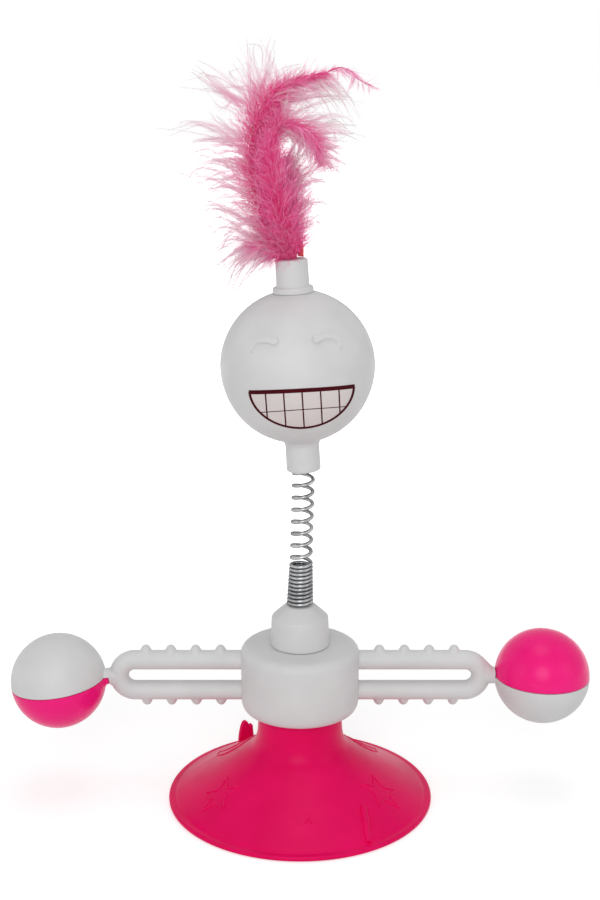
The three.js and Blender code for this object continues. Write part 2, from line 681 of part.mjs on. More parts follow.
// A pressed bell: a thin ball with a crossed slot in its lower half.
function bell() {
  const shell = ball(BELL_RADIUS, 12, 6).subtract(ball(BELL_RADIUS - BELL_WALL, 12, 6));
  const slot = bar(-BELL_RADIUS, BELL_RADIUS, BELL_SLOT, BELL_RADIUS);
  const cross = slot.add(slot.rotate([0, 0, 90]));
  return shell.subtract(cross.translate([0, 0, -0.75 * BELL_RADIUS]));
}

function springSeat() {
  const land = COIL_FOOT_RADIUS + WIRE_DIAMETER / 2 + SEAT_LAND;
  const cavity = COLLAR_RADIUS + SEAT_GAP;
  const shoulder = SEAT_RADIUS - SEAT_DRAFT;
  const pilot = SEAT_SCREW_RADIUS + SEAT_GAP;
  const pilotTop = collarTop + SEAT_SCREW_BITE + SEAT_GAP;
  const spigotTop = seatTop + SPIGOT_HEIGHT;
  return turned([
    [cavity, seatFoot],
    [SEAT_RADIUS, seatFoot],
    [shoulder, seatShoulder],
    [(land + shoulder) / 2, seatShoulder + 0.62 * SEAT_CONE],
    [land, seatTop - EDGE_BREAK / 2],
    [land - EDGE_BREAK, seatTop],
    [spigotRadius, seatTop],
    [spigotRadius, spigotTop - SPIGOT_TAPER],
    [spigotRadius - SPIGOT_TAPER, spigotTop],
    [0, spigotTop],
    [0, pilotTop],
    [pilot, pilotTop],
    [pilot, collarTop + SEAT_GAP],
    [cavity, collarTop + SEAT_GAP],
  ], AROUND_MEDIUM);
}

// The wire's route: a tail down to the seat, close turns, open turns, turns hidden in the neck,
// and a tail up to the plug.
function springRoute() {
  const turns = CLOSE_TURNS + OPEN_TURNS + HIDDEN_TURNS;
  const count = Math.round(turns * COIL_STEPS);
  const springSlope = Math.tan(radians(SPRING_LEAN));
  const headSlope = Math.tan(radians(HEAD_LEAN));
  const route = Array.from({ length: count + 1 }, (_, i) => {
    const turn = (i * turns) / count;
    const close = Math.min(turn, CLOSE_TURNS);
    const open = THREE.MathUtils.clamp(turn - CLOSE_TURNS, 0, OPEN_TURNS);
    const hidden = turn - close - open;
    const free = close * CLOSE_PITCH + open * OPEN_PITCH;
    const inNeck = hidden * CLOSE_PITCH;
    const radius = THREE.MathUtils.lerp(COIL_FOOT_RADIUS, COIL_RADIUS, close / CLOSE_TURNS);
    const angle = radians(COIL_START) + 2 * Math.PI * turn;
    const shift = springSlope * free - headSlope * inNeck;
    return new THREE.Vector3(
      shift + radius * Math.cos(angle), radius * Math.sin(angle), coilFoot + free + inNeck,
    );
  });
  const tail = new THREE.Vector3(0, 0, WIRE_DIAMETER);
  return [route[0].clone().sub(tail), ...route, route[count].clone().add(tail)];
}

// Least clear space between turns, from points set closely along the wire's middle.
function leastCoilGap(route) {
  const fine = 6;
  const points = route.slice(1).flatMap((point, i) => Array.from(
    { length: fine },
    (_, k) => route[i].clone().lerp(point, k / fine),
  ));
  const turn = COIL_STEPS * fine;
  let least = Infinity;
  points.forEach((point, i) => {
    for (const other of points.slice(i + turn / 2, i + 3 * turn)) {
      least = Math.min(least, point.distanceTo(other));
    }
  });
  return least - WIRE_DIAMETER;
}

function coilSpring() {
  const route = springRoute();
  console.log(`coil_spring: least gap to itself ${leastCoilGap(route).toFixed(3)} mm`);
  return bentBar(route, WIRE_DIAMETER / 2, COIL_SIDES);
}

// Both head shells before they are parted: a ball with a neck below and a hole on top.
function headBody(radius) {
  const inner = HEAD_RADIUS - HEAD_WALL;
  const holderHole = HOLDER_RADIUS - HOLDER_WAIST + SEAT_GAP;
  const edgeAngle = (edge, from) => degrees(Math.asin(edge / from));
  const middle = [0, headMiddle];
  const groove = neckBore + GRIP_WIDTH;
  const grooveTop = gripFoot + GRIP_HEIGHT + SEAT_GAP;
  const neckTop = headMiddle - Math.sqrt(radius ** 2 - NECK_FOOT_RADIUS ** 2) - NECK_FILLET;
  const filletAngle = edgeAngle(NECK_FOOT_RADIUS + NECK_FILLET, radius);
  return turned([
    [neckBore, 0],
    [NECK_FOOT_RADIUS - EDGE_BREAK, 0],
    [NECK_FOOT_RADIUS, EDGE_BREAK],
    [NECK_FOOT_RADIUS, neckTop],
    ...arc(middle, radius, filletAngle - 90, 90 - edgeAngle(holderHole, radius), 10),
    ...arc(middle, inner, 90 - edgeAngle(holderHole, inner), edgeAngle(neckBore, inner) - 90, 7),
    [neckBore, grooveTop],
    [groove, grooveTop],
    [groove, gripFoot - SEAT_GAP],
    [neckBore, gripFoot - SEAT_GAP],
  ], AROUND_LARGE);
}

// Places of the locating pegs, on the shells' inner wall in the parting plane.
function pegPlaces() {
  const reach = HEAD_RADIUS - HEAD_WALL - PEG_RADIUS - PEG_WALL + EDGE_BREAK;
  return PEG_ANGLES.map((angle) => [
    reach * Math.cos(radians(angle)), 0, headMiddle + reach * Math.sin(radians(angle)),
  ]);
}

function frontShell() {
  const peg = rod(PEG_RADIUS + PEG_WALL, SEAT_GAP / 2, PEG_LENGTH, AROUND_TINY)
    .add(rod(PEG_RADIUS, -PEG_LENGTH, PEG_LENGTH, AROUND_TINY)).rotate([90, 0, 0]);
  let shell = headBody(HEAD_RADIUS).subtract(beyond('y', -SEAT_GAP / 2, 1));
  for (const place of pegPlaces()) {
    shell = shell.add(peg.translate(place));
  }
  return shell;
}

function rearShell() {
  const holeEnd = PEG_LENGTH + SEAT_GAP;
  const socket = rod(PEG_RADIUS + PEG_WALL, SEAT_GAP / 2, holeEnd + PEG_WALL, AROUND_TINY)
    .rotate([-90, 0, 0]);
  const pegRoom = rod(PEG_RADIUS + SEAT_GAP, 0, holeEnd, AROUND_TINY).rotate([-90, 0, 0]);
  let shell = headBody(HEAD_RADIUS + REAR_STEP).subtract(beyond('y', SEAT_GAP / 2, -1));
  for (const place of pegPlaces()) {
    shell = shell.add(socket.translate(place)).subtract(pegRoom.translate(place));
  }
  return shell;
}

// The plug's spigot stands in the hidden turns, and both shells grip its flange.
function springPlug() {
  const flange = neckBore + GRIP_WIDTH - SEAT_GAP;
  return turned([
    [0, WIRE_DIAMETER],
    [spigotRadius - EDGE_BREAK, WIRE_DIAMETER],
    [spigotRadius, WIRE_DIAMETER + EDGE_BREAK],
    [spigotRadius, gripFoot],
    [flange, gripFoot],
    [flange, gripFoot + GRIP_HEIGHT],
    [0, gripFoot + GRIP_HEIGHT],
  ], AROUND_SMALL);
}

// The holder's foot and collar hold the shells between them at the hole on top of the ball.
function featherHolder() {
  const waist = HOLDER_RADIUS - HOLDER_WAIST;
  const collar = HOLDER_RADIUS + HOLDER_COLLAR_WIDTH;
  const outside = HEAD_RADIUS + REAR_STEP;
  const inside = HEAD_RADIUS - HEAD_WALL;
  const above = (edge) => headMiddle + SEAT_GAP + Math.sqrt(outside ** 2 - edge ** 2);
  const collarHead = above(collar) + HOLDER_COLLAR_HEIGHT;
  const footTop = headMiddle - SEAT_GAP + Math.sqrt(inside ** 2 - HOLDER_RADIUS ** 2);
  const bore = QUILL_RADIUS + SEAT_GAP;
  const boreFoot = holderTop - QUILL_DEPTH - SEAT_GAP;
  return turned([
    [0, footTop - HOLDER_FOOT_HEIGHT],
    [HOLDER_RADIUS, footTop - HOLDER_FOOT_HEIGHT],
    [HOLDER_RADIUS, footTop],
    [waist, footTop],
    [waist, above(waist)],
    [collar, above(collar)],
    [collar, collarHead - EDGE_BREAK],
    [collar - EDGE_BREAK, collarHead],
    [HOLDER_RADIUS, collarHead],
    [HOLDER_RADIUS, holderTop - EDGE_BREAK],
    [HOLDER_RADIUS - EDGE_BREAK, holderTop],
    [bore, holderTop],
    [bore, boreFoot],
    [0, boreFoot],
  ], AROUND_MEDIUM);
}

function featherQuill() {
  return turned([
    [0, holderTop - QUILL_DEPTH],
    [QUILL_RADIUS, holderTop - QUILL_DEPTH],
    [QUILL_RADIUS, bindingTop],
    [QUILL_RADIUS / 2, bindingTop + QUILL_RISE],
    [0, bindingTop + QUILL_RISE],
  ], AROUND_TINY);
}

// A thread binding around the quill, with its knot on one side.
function featherBinding() {
  const wrap = rod(BINDING_RADIUS, bindingFoot, bindingTop);
  const bore = rod(QUILL_RADIUS + SEAT_GAP, 0, FAR);
  return wrap.add(wrap.translate([KNOT_SHIFT, 0, 0])).subtract(bore);
}

// The plume's bulk: an oval section along a curve that rises, bows back and falls over.
function featherPlume() {
  const foot = bindingFoot + SEAT_GAP;
  const along = (x, share) => new THREE.Vector3(x, 0, foot + share * PLUME_HEIGHT);
  const curve = new THREE.CatmullRomCurve3([
    along(-0.1 * PLUME_SWEEP, 0),
    along(-0.75 * PLUME_SWEEP, 0.18),
    along(-PLUME_SWEEP, 0.42),
    along(-0.8 * PLUME_SWEEP, 0.72),
    along(0.04 * PLUME_CURL, 0.95),
    along(0.5 * PLUME_CURL, 1),
    along(PLUME_CURL, 0.9),
  ]);
  const stations = 15;
  const rings = Array.from({ length: stations + 1 }, (_, i) => {
    const share = i / stations;
    const middle = curve.getPointAt(share);
    const tangent = curve.getTangentAt(share);
    const across = new THREE.Vector3(tangent.z, 0, -tangent.x);
    const swell = Math.sin(Math.PI * (0.06 + 0.94 * share) ** 0.75) ** 0.7;
    const half = i === 0 ? PLUME_FOOT : Math.max(PLUME_TIP, PLUME_BREADTH * swell);
    return arc([0, 0], half, 0, 330, 11).map(([x, y]) => {
      const point = middle.clone().addScaledVector(across, x);
      point.y = (y * PLUME_DEPTH) / PLUME_BREADTH;
      if (i === 0) point.z = foot;
      return point;
    });
  });
  const bindingRoom = rod(BINDING_RADIUS + SEAT_GAP, 0, bindingTop + SEAT_GAP, AROUND_TINY);
  const quillTop = bindingTop + QUILL_RISE;
  const quillRoom = rod(QUILL_RADIUS + SEAT_GAP, 0, quillTop + SEAT_GAP, AROUND_TINY);
  return skin(rings)
    .subtract(bindingRoom)
    .subtract(bindingRoom.translate([KNOT_SHIFT, 0, 0]))
    .subtract(quillRoom);
}

// An arm with its cap and bell, along +X. The left arm is the same one turned over: its pink
// side is down.
function armGroup(side, sag, collarReach) {
  const group = new THREE.Group();
  group.position.z = armHeight;
  group.add(piece(`arm_${side}`, arm(sag, collarReach), WHITE));
  const end = new THREE.Group();
  end.position.x = armTip;
  end.rotation.y = radians(sag);
  end.add(piece(`ball_cap_${side}`, ballCap(collarReach), PINK));
  const rattle = piece(`bell_${side}`, bell(), BRASS);
  const pinkUp = side === 'right' ? 1 : -1;
  const drop = BALL_RADIUS - BALL_WALL - CAP_LIP_WALL - BELL_RADIUS - 2 * SEAT_GAP;
  rattle.position.set(ballMiddle, 0, -pinkUp * drop);
  if (pinkUp < 0) rattle.rotation.x = Math.PI;
  end.add(rattle);
  group.add(end);
  if (pinkUp < 0) group.rotation.y = Math.PI;
  return group;
}

function baseGroup() {
  const group = new THREE.Group();
  group.add(piece('suction_cup', suctionCup(), RUBBER_PINK));
  group.add(piece('stem_insert', stemInsert(), NATURAL));
  group.add(piece('axle_pin', axlePin(), STEEL));
  group.add(piece('lower_washer', washer(bushFlangeRadius, washerFoot), NATURAL));
  return group;
}

function coverScrews() {
  const length = COVER_THICKNESS - SCREW_HEAD_HEIGHT + SEAT_GAP + SCREW_BITE;
  return screwPlaces().map(([x, y], i) => {
    const shape = screw(SCREW_RADIUS, SCREW_HEAD_RADIUS, SCREW_HEAD_HEIGHT, length);
    const mesh = piece(`cover_screw_${i + 1}`, shape, STEEL);
    mesh.position.set(x, y, coverFoot);
    return mesh;
  });
}

function seatScrew() {
  const length = SEAT_GAP + collarTop - hubCeiling + SEAT_SCREW_BITE;
  const shape = screw(SEAT_SCREW_RADIUS, SEAT_SCREW_HEAD_RADIUS, SEAT_SCREW_HEAD_HEIGHT, length);
  const mesh = piece('seat_screw', shape, STEEL);
  mesh.position.z = hubCeiling - SEAT_GAP - SEAT_SCREW_HEAD_HEIGHT;
  return mesh;
}

function rotorGroup() {
  const group = new THREE.Group();
  group.add(piece('hub_housing', hubHousing(), WHITE));
  group.add(piece('hub_cover', hubCover(), WHITE));
  group.add(piece('bearing_bush', bearingBush(), NATURAL));
  group.add(piece('upper_washer', washer(bushRadius, upperWasherFoot), NATURAL));
  group.add(...coverScrews());
  group.add(armGroup('right', RIGHT_SAG, 0));
  group.add(armGroup('left', -LEFT_SAG, COLLAR_REACH));
  group.add(seatScrew());
  group.add(piece('spring_seat', springSeat(), WHITE));
  return group;
}

// The head's group starts at the foot of its neck and leans as the photographed one does.
function headGroup() {
  const group = new THREE.Group();
  group.position.set(neckShift, 0, neckFoot);
  group.rotation.y = -radians(HEAD_LEAN);
  group.add(piece('head_front_shell', frontShell(), WHITE));
  group.add(piece('head_rear_shell', rearShell(), WHITE));
  group.add(piece('spring_plug', springPlug(), NATURAL));
  group.add(piece('feather_holder', featherHolder(), WHITE));
  group.add(piece('feather_quill', featherQuill(), NATURAL));
  group.add(piece('feather_binding', featherBinding(), THREAD_RED));
  group.add(piece('feather_plume', featherPlume(), FEATHER_PINK));
  return group;
}

const toy = new THREE.Group();
toy.add(baseGroup());
toy.add(rotorGroup());
toy.add(piece('coil_spring', coilSpring(), STEEL));
toy.add(headGroup());

export default toy;
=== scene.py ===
# %% [markdown]
# # A spinning cat toy
# The toy stands on a suction cup. A hub turns on a pin in the cup's stem and carries two looped
# arms with a two-colour ball on each end. A smiling ball on a spring stands on the hub, with a
# marabou plume on top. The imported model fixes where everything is, and this lesson dresses it:
# each piece is rebuilt with smooth, moulded shapes and a finish of its own.

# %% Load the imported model
import math

import bmesh
import bpy
import numpy as np
from mathutils import Matrix, Vector


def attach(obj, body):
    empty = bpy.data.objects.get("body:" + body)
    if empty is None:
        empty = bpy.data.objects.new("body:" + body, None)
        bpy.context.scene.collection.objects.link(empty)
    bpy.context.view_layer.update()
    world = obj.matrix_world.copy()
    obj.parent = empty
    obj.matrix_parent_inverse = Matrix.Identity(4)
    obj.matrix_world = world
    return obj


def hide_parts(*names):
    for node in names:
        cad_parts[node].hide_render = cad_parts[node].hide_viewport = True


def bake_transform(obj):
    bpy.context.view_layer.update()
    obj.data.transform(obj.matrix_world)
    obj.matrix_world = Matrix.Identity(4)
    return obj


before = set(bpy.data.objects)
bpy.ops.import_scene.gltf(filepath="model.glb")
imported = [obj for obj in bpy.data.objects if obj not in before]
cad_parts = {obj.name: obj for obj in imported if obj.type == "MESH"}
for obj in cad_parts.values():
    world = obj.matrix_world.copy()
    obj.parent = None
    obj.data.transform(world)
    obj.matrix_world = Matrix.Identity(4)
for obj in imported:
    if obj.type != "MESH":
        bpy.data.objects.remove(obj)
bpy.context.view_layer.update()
MM = 0.001  # all shapes below are written in millimetres

# %% [markdown]
# ## Camera
# The photograph was taken from in front and a little above. The rim of the cup shows as an
# ellipse, and its flatness gives the camera's height; the hub and the balls give the distance.
# A camera is set up before the rest, so that each piece can be judged from it at once.

# %% Camera
CAMERA_BACK, CAMERA_HEIGHT = 502, 265
CAMERA_TILT = 14.4  # degrees below the horizon
LENS_LENGTH = 57.56
NEAREST = 0.01  # metres; nothing nearer to the camera is drawn
lens = bpy.data.cameras.new("camera")
lens.lens = LENS_LENGTH
lens.clip_start = NEAREST
camera = bpy.data.objects.new("camera", lens)
camera.location = (0, -CAMERA_BACK * MM, CAMERA_HEIGHT * MM)
camera.rotation_euler = (math.radians(90 - CAMERA_TILT), 0, 0)
bpy.context.scene.collection.objects.link(camera)
bpy.context.scene.camera = camera
print("camera", tuple(round(v, 3) for v in camera.location))

# %% [markdown]
# ## Studio
# Small white goods are photographed in a white tent with large soft lamps. The floor is a pale
# sheet. For the camera and for reflections it gets a little glow, so that it reads as white, and
# it still takes the toy's soft shadow. The world does the same: white to the eye, plain to the toy.
# A Light Path node tells which rays come from the camera, or off or through something shiny, and
# small maths nodes do the rest. Three helpers keep such nodes short in all of the lesson.

# %% Node helpers
def new_finish(name):
    """A new material, with its nodes, its links and its shader."""
    finish = bpy.data.materials.new(name)
    finish.use_nodes = True
    nodes, links = finish.node_tree.nodes, finish.node_tree.links
    return finish, nodes, links, nodes["Principled BSDF"]


def worked_out(nodes, links, operation, *terms):
    """The result of a Math node. Each term is a number or the output of another node."""
    step = nodes.new("ShaderNodeMath")
    step.operation = operation
    for term, socket in zip(terms, step.inputs):
        if isinstance(term, bpy.types.NodeSocket):
            links.new(term, socket)
        else:
            socket.default_value = term
    return step.outputs[0]


def mapped(nodes, links, value, start, end, low, high):
    """Turns a value's range from start to end into one from low to high."""
    spread = nodes.new("ShaderNodeMapRange")
    links.new(value, spread.inputs["Value"])
    numbers = {"From Min": start, "From Max": end, "To Min": low, "To Max": high}
    for socket, number in numbers.items():
        spread.inputs[socket].default_value = number
    return spread.outputs[0]


# %% Floor
def seen_directly(nodes, links):
    """1 for camera, glossy and transmission rays, else 0."""
    rays = nodes.new("ShaderNodeLightPath").outputs
    either = worked_out(nodes, links, "MAXIMUM", rays["Is Camera Ray"], rays["Is Glossy Ray"])
    return worked_out(nodes, links, "MAXIMUM", either, rays["Is Transmission Ray"])


FLOOR_WHITE = (0.86, 0.86, 0.86, 1)
GLOW = (0.42, 1.1)  # beside the toy and far from it
GLOW_REACH = (0.14, 0.45)  # metres from the toy
floor_finish, nodes, links, plastic = new_finish("studio_floor")
nodes.remove(plastic)
place, reach, matt, glow, both = (
    nodes.new("ShaderNode" + kind)
    for kind in ("TexCoord", "VectorMath", "BsdfDiffuse", "Emission", "AddShader")
)
matt.inputs["Color"].default_value = FLOOR_WHITE
reach.operation = "LENGTH"
links.new(place.outputs["Object"], reach.inputs[0])
glow_there = mapped(nodes, links, reach.outputs["Value"], *GLOW_REACH, *GLOW)
glow_seen = worked_out(nodes, links, "MULTIPLY", seen_directly(nodes, links), glow_there)
links.new(glow_seen, glow.inputs["Strength"])
links.new(matt.outputs[0], both.inputs[0])
links.new(glow.outputs[0], both.inputs[1])
links.new(both.outputs[0], nodes["Material Output"].inputs["Surface"])

FLOOR_REACH = 6  # metres
FLOOR_DROP = 0.2  # just below the cup's rim, so that the two faces never lie in one plane
floor_mesh = bpy.data.meshes.new("floor")
floor_mesh.from_pydata(
    [(x * FLOOR_REACH, y * FLOOR_REACH, -FLOOR_DROP * MM)
     for x, y in ((-1, -1), (1, -1), (1, 1), (-1, 1))],
    [], [(0, 1, 2, 3)],
)
floor_mesh.materials.append(floor_finish)
floor = bpy.data.objects.new("floor", floor_mesh)
bpy.context.scene.collection.objects.link(floor)
print("floor:", 2 * FLOOR_REACH, "metres across")

# %% World
TENT_LIGHT = 0.5
world = bpy.data.worlds.new("studio")
bpy.context.scene.world = world
world.use_nodes = True
nodes, links = world.node_tree.nodes, world.node_tree.links
strength = mapped(nodes, links, seen_directly(nodes, links), 0, 1, TENT_LIGHT, 1)
links.new(strength, nodes["Background"].inputs["Strength"])
nodes["Background"].inputs["Color"].default_value = (1, 1, 1, 1)
bpy.context.scene.view_settings.view_transform = "Standard"
print("the tent lights the toy with a strength of", TENT_LIGHT)

# %% [markdown]
# ## Lamps
# The shading in the photograph is almost even, brightest in the middle of each round piece and a
# little darker towards its edges, so the main lamp stands behind the camera, a little above it. A
# weaker one on each side and one overhead fill in. Each is a round area lamp, for soft highlights.

# %% Lamps
TOY_MIDDLE = (0, 0, 0.13)
LAMPS = {  # place and width in metres, then watts
    "key_lamp": ((-0.08, -1.15, 0.62), 0.7, 4.5),
    "left_lamp": ((-1, -0.5, 0.5), 0.6, 0.6),
    "right_lamp": ((1, -0.5, 0.5), 0.6, 0.7),
    "top_lamp": ((0.02, -0.1, 1.2), 0.6, 1.6),
}
for name, (place, width, watts) in LAMPS.items():
    light = bpy.data.lights.new(name, "AREA")
    light.shape = "DISK"
    light.size = width
    light.energy = watts
    lamp = bpy.data.objects.new(name, light)
    lamp.location = place
    lamp.rotation_euler = (Vector(TOY_MIDDLE) - Vector(place)).to_track_quat("-Z", "Y").to_euler()
    bpy.context.scene.collection.objects.link(lamp)
print("lamps:", list(LAMPS))

# %% [markdown]
# ## Turned shapes
# Most pieces of this toy come out of round moulds, and the moulds are turned on a lathe. So most
# pieces start as a profile, drawn as corners that are so far from an axis and so high, and the
# profile is spun about the axis. A moulded edge is never sharp, so a corner may have a rounding.

# %% Helpers for turned shapes
def solid(name, points, faces):
    """A mesh object from points in millimetres."""
    mesh = bpy.data.meshes.new(name)
    mesh.from_pydata([tuple(p) for p in points], [], faces)
    piece = bpy.data.objects.new(name, mesh)
    bpy.context.scene.collection.objects.link(piece)
    return piece


def rounded(corners, steps=5):
    """A profile from (radius, height) or (radius, height, rounding) corners.

    A rounding takes up at most half of each of the two lines that meet in its corner.
    """
    profile = []
    for i, (x, z, *rounding) in enumerate(corners):
        here = np.array((x, z), float)
        if not rounding or i in (0, len(corners) - 1):
            profile.append(here)
            continue
        ends = []
        for other in (corners[i - 1], corners[i + 1]):
            way = np.array(other[:2], float) - here
            ends.append(here + way * min(0.5, rounding[0] / np.linalg.norm(way)))
        for s in np.linspace(0, 1, steps + 1):
            profile.append((1 - s) ** 2 * ends[0] + 2 * s * (1 - s) * here + s * s * ends[1])
    return profile


def arc(middle, radius, start, end, steps):
    """Points on a circle, from one angle to another in degrees."""
    angles = np.radians(np.linspace(start, end, steps + 1))
    return [(middle[0] + radius * math.cos(a), middle[1] + radius * math.sin(a)) for a in angles]


ON_AXIS = 1e-6  # a smaller radius than this is one point on the axis


def turned(name, profile, sides=96, angles=None):
    """A closed solid spun about Z. The profile starts and ends on the axis, or closes on itself."""
    if angles is None:
        angles = np.linspace(0, 2 * math.pi, sides, endpoint=False)
    points, rings = [], []
    for radius, height in profile:
        first = len(points)
        if radius < ON_AXIS:
            points.append((0, 0, height))
        else:
            points += [(radius * math.cos(a), radius * math.sin(a), height) for a in angles]
        rings.append(range(first, len(points)))
    pairs = list(zip(rings, rings[1:]))
    if len(rings[0]) > 1:
        pairs.append((rings[-1], rings[0]))
    faces = []
    for low, high in pairs:
        for k in range(len(angles)):
            after = (k + 1) % len(angles)
            corners = (low[k % len(low)], low[after % len(low)])
            corners += (high[after % len(high)], high[k % len(high)])
            faces.append(list(dict.fromkeys(corners)))
    return solid(name, points, faces)


# %% [markdown]
# ## Bent and lofted shapes
# A loop, a wire or a thread is a round section carried along a path. The section must not twist
# on the way, so each ring takes over the last ring's direction and only leans as far as the path
# turns. Other forms are a skin over rings of points.

# %% Helpers for bars, wires and skins
def skinned(name, rings, closed=False):
    """A closed solid over rings of equally many points."""
    sides = len(rings[0])
    count = len(rings)
    faces = []
    for i in range(count if closed else count - 1):
        for k in range(sides):
            a, b = i * sides + k, i * sides + (k + 1) % sides
            c, d = (i + 1) % count * sides + (k + 1) % sides, (i + 1) % count * sides + k
            faces.append((a, b, c, d))
    if not closed:
        faces.append(list(range(sides))[::-1])
        faces.append(list(range((count - 1) * sides, count * sides)))
    return solid(name, np.concatenate(rings), faces)


ASKEW = (0.3, 1, 0.2)  # no path starts in this direction


def carried_rings(path, radius, sides):
    """Rings around a path, each turned as little as possible from the one before."""
    path = np.array(path, float)
    along = np.gradient(path, axis=0)
    along /= np.linalg.norm(along, axis=1)[:, None]
    across = np.cross(along[0], ASKEW)
    rings = []
    radii = np.broadcast_to(radius, len(path))
    turn = np.linspace(0, 2 * math.pi, sides, endpoint=False)[:, None]
    for here, way, size in zip(path, along, radii):
        across = across - way * (across @ way)
        across /= np.linalg.norm(across)
        upright = np.cross(way, across)
        rings.append(here + size * (np.cos(turn) * across + np.sin(turn) * upright))
    return rings


def wire(name, path, radius, sides):
    """A round bar along a path. The radius is one number, or one for each point."""
    return skinned(name, carried_rings(path, radius, sides))


def smooth_curve(corners, steps):
    """Points on a smooth curve through the corners."""
    corners = np.array(corners, float)
    ends = np.vstack([2 * corners[0] - corners[1], corners, 2 * corners[-1] - corners[-2]])
    spans = len(corners) - 1
    points = []
    for t in np.linspace(0, spans, steps + 1):
        i = min(int(t), spans - 1)
        s = t - i
        p0, p1, p2, p3 = ends[i:i + 4]
        points.append(0.5 * (2 * p1 + (p2 - p0) * s + (2 * p0 - 5 * p1 + 4 * p2 - p3) * s * s
                             + (3 * p1 - p0 - 3 * p2 + p3) * s ** 3))
    return np.array(points)


# %% [markdown]
# ## Joining and finishing
# A mould joins shapes into one body and cuts pockets into it. A Boolean modifier does the same to
# meshes. When a piece is ready it is scaled to metres, gets smooth shading with crisp edges where
# the surface turns sharply, and rides on the body that carries it.

# %% Helpers for joining, cutting and finishing
def combine(piece, other, operation):
    """piece joined with other, or cut by it. other is used up."""
    step = piece.modifiers.new("combine", "BOOLEAN")
    step.operation = operation
    step.solver = "MANIFOLD"
    step.object = other
    shown = piece.evaluated_get(bpy.context.evaluated_depsgraph_get())
    made = bpy.data.meshes.new_from_object(shown)
    piece.modifiers.clear()
    piece.data = made
    bpy.data.objects.remove(other)
    return piece


def placed(piece, matrix):
    """Moves the points themselves. The piece's own origin stays where the toy's is."""
    piece.data.transform(matrix)
    return piece


def half_space(axis, value, direction, reach=200):
    """A large block that fills one side of a plane square to an axis."""
    low, high = np.full(3, -reach, float), np.full(3, reach, float)
    low[axis], high[axis] = (value, value + reach) if direction > 0 else (value - reach, value)
    x, y, z = zip(low, high)
    corners = [(x[i], y[j], z[k]) for i in (0, 1) for j in (0, 1) for k in (0, 1)]
    faces = [(0, 1, 3, 2), (4, 6, 7, 5), (0, 4, 5, 1), (2, 3, 7, 6), (0, 2, 6, 4), (1, 5, 7, 3)]
    return solid("block", corners, faces)


def finished(piece, finish, body, slot, *stands_for, crease=38):
    """Scales a piece to metres, shades it, and lets it ride on its body.

    stands_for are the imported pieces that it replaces. Edges over crease degrees stay crisp.
    """
    shape = bmesh.new()
    shape.from_mesh(piece.data)
    bmesh.ops.recalc_face_normals(shape, faces=shape.faces)
    shape.to_mesh(piece.data)
    shape.free()
    piece.data.transform(Matrix.Scale(MM, 4))
    piece.data.shade_smooth()
    piece.data.set_sharp_from_angle(angle=math.radians(crease))
    piece.data.materials.clear()
    piece.data.materials.append(finish)
    if body:
        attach(piece, body)
    if stands_for:
        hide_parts(*stands_for)
    size = [round(v / MM, 1) for v in piece.dimensions]
    print(f"{piece.name}: {len(piece.data.polygons)} faces, {size} mm")
    return piece


# %% [markdown]
# ## Finish: moulded plastic and rubber
# A moulded surface is never one flat colour. The melt leaves very faint clouds, handling leaves
# slightly duller patches, and the mould's own texture breaks up the highlight. One recipe with
# three noises covers all of this: clouds in the colour, patches in the roughness, and a fine grain
# in the bump. Only the sizes and colours differ from one finish to the next.

# %% Noise and colour helpers
def colour(red, green, blue):
    """A colour as seen on screen, 0 to 255, as the linear values that a shader wants."""
    seen = np.array((red, green, blue)) / 255
    # the screen's standard curve: a short straight foot, then a power
    return (*np.where(seen > 0.04045, ((seen + 0.055) / 1.055) ** 2.4, seen / 12.92), 1)


def noise_at(nodes, links, scale, detail=3, places=None):
    """Clouds over a piece. A larger scale makes them finer."""
    if places is None:
        places = nodes.new("ShaderNodeTexCoord").outputs["Object"]
    cloud = nodes.new("ShaderNodeTexNoise")
    cloud.inputs["Scale"].default_value = scale
    cloud.inputs["Detail"].default_value = detail
    links.new(places, cloud.inputs["Vector"])
    return cloud.outputs["Fac"]


def ramp_from(nodes, links, value, stops):
    """Colours for a value from 0 to 1, from stops of (value, colour)."""
    ramp = nodes.new("ShaderNodeValToRGB")
    links.new(value, ramp.inputs["Fac"])
    marks = ramp.color_ramp.elements
    while len(marks) < len(stops):
        marks.new(0.5)
    for mark, (place, shade) in zip(marks, stops):
        mark.position = place
        mark.color = shade
    return ramp.outputs["Color"]


# %% Moulded finishes
NOISE_RANGE = (0.3, 0.7)  # most of a noise's values lie in here
PATCH_FINENESS = 2.3  # against the clouds of colour
SHINIER, DULLER = 0.04, 0.05  # how far the patches leave the roughness
GRAIN_DEPTH = 0.0001  # metres


def moulded(name, dark, light, roughness, cloud_scale=90, grain_scale=2600, grain=0.05, **extra):
    """The recipe above. extra gives further values of the shader, with _ for each space."""
    finish, nodes, links, shader = new_finish(name)
    clouds = noise_at(nodes, links, cloud_scale)
    shade = ramp_from(nodes, links, clouds, list(zip(NOISE_RANGE, (colour(*dark), colour(*light)))))
    links.new(shade, shader.inputs["Base Color"])
    patches = noise_at(nodes, links, PATCH_FINENESS * cloud_scale, 5)
    dull = mapped(nodes, links, patches, *NOISE_RANGE, roughness - SHINIER, roughness + DULLER)
    links.new(dull, shader.inputs["Roughness"])
    bump = nodes.new("ShaderNodeBump")
    bump.inputs["Strength"].default_value = grain
    bump.inputs["Distance"].default_value = GRAIN_DEPTH
    links.new(noise_at(nodes, links, grain_scale, 2), bump.inputs["Height"])
    links.new(bump.outputs["Normal"], shader.inputs["Normal"])
    for socket, value in extra.items():
        shader.inputs[socket.replace("_", " ")].default_value = value
    return finish


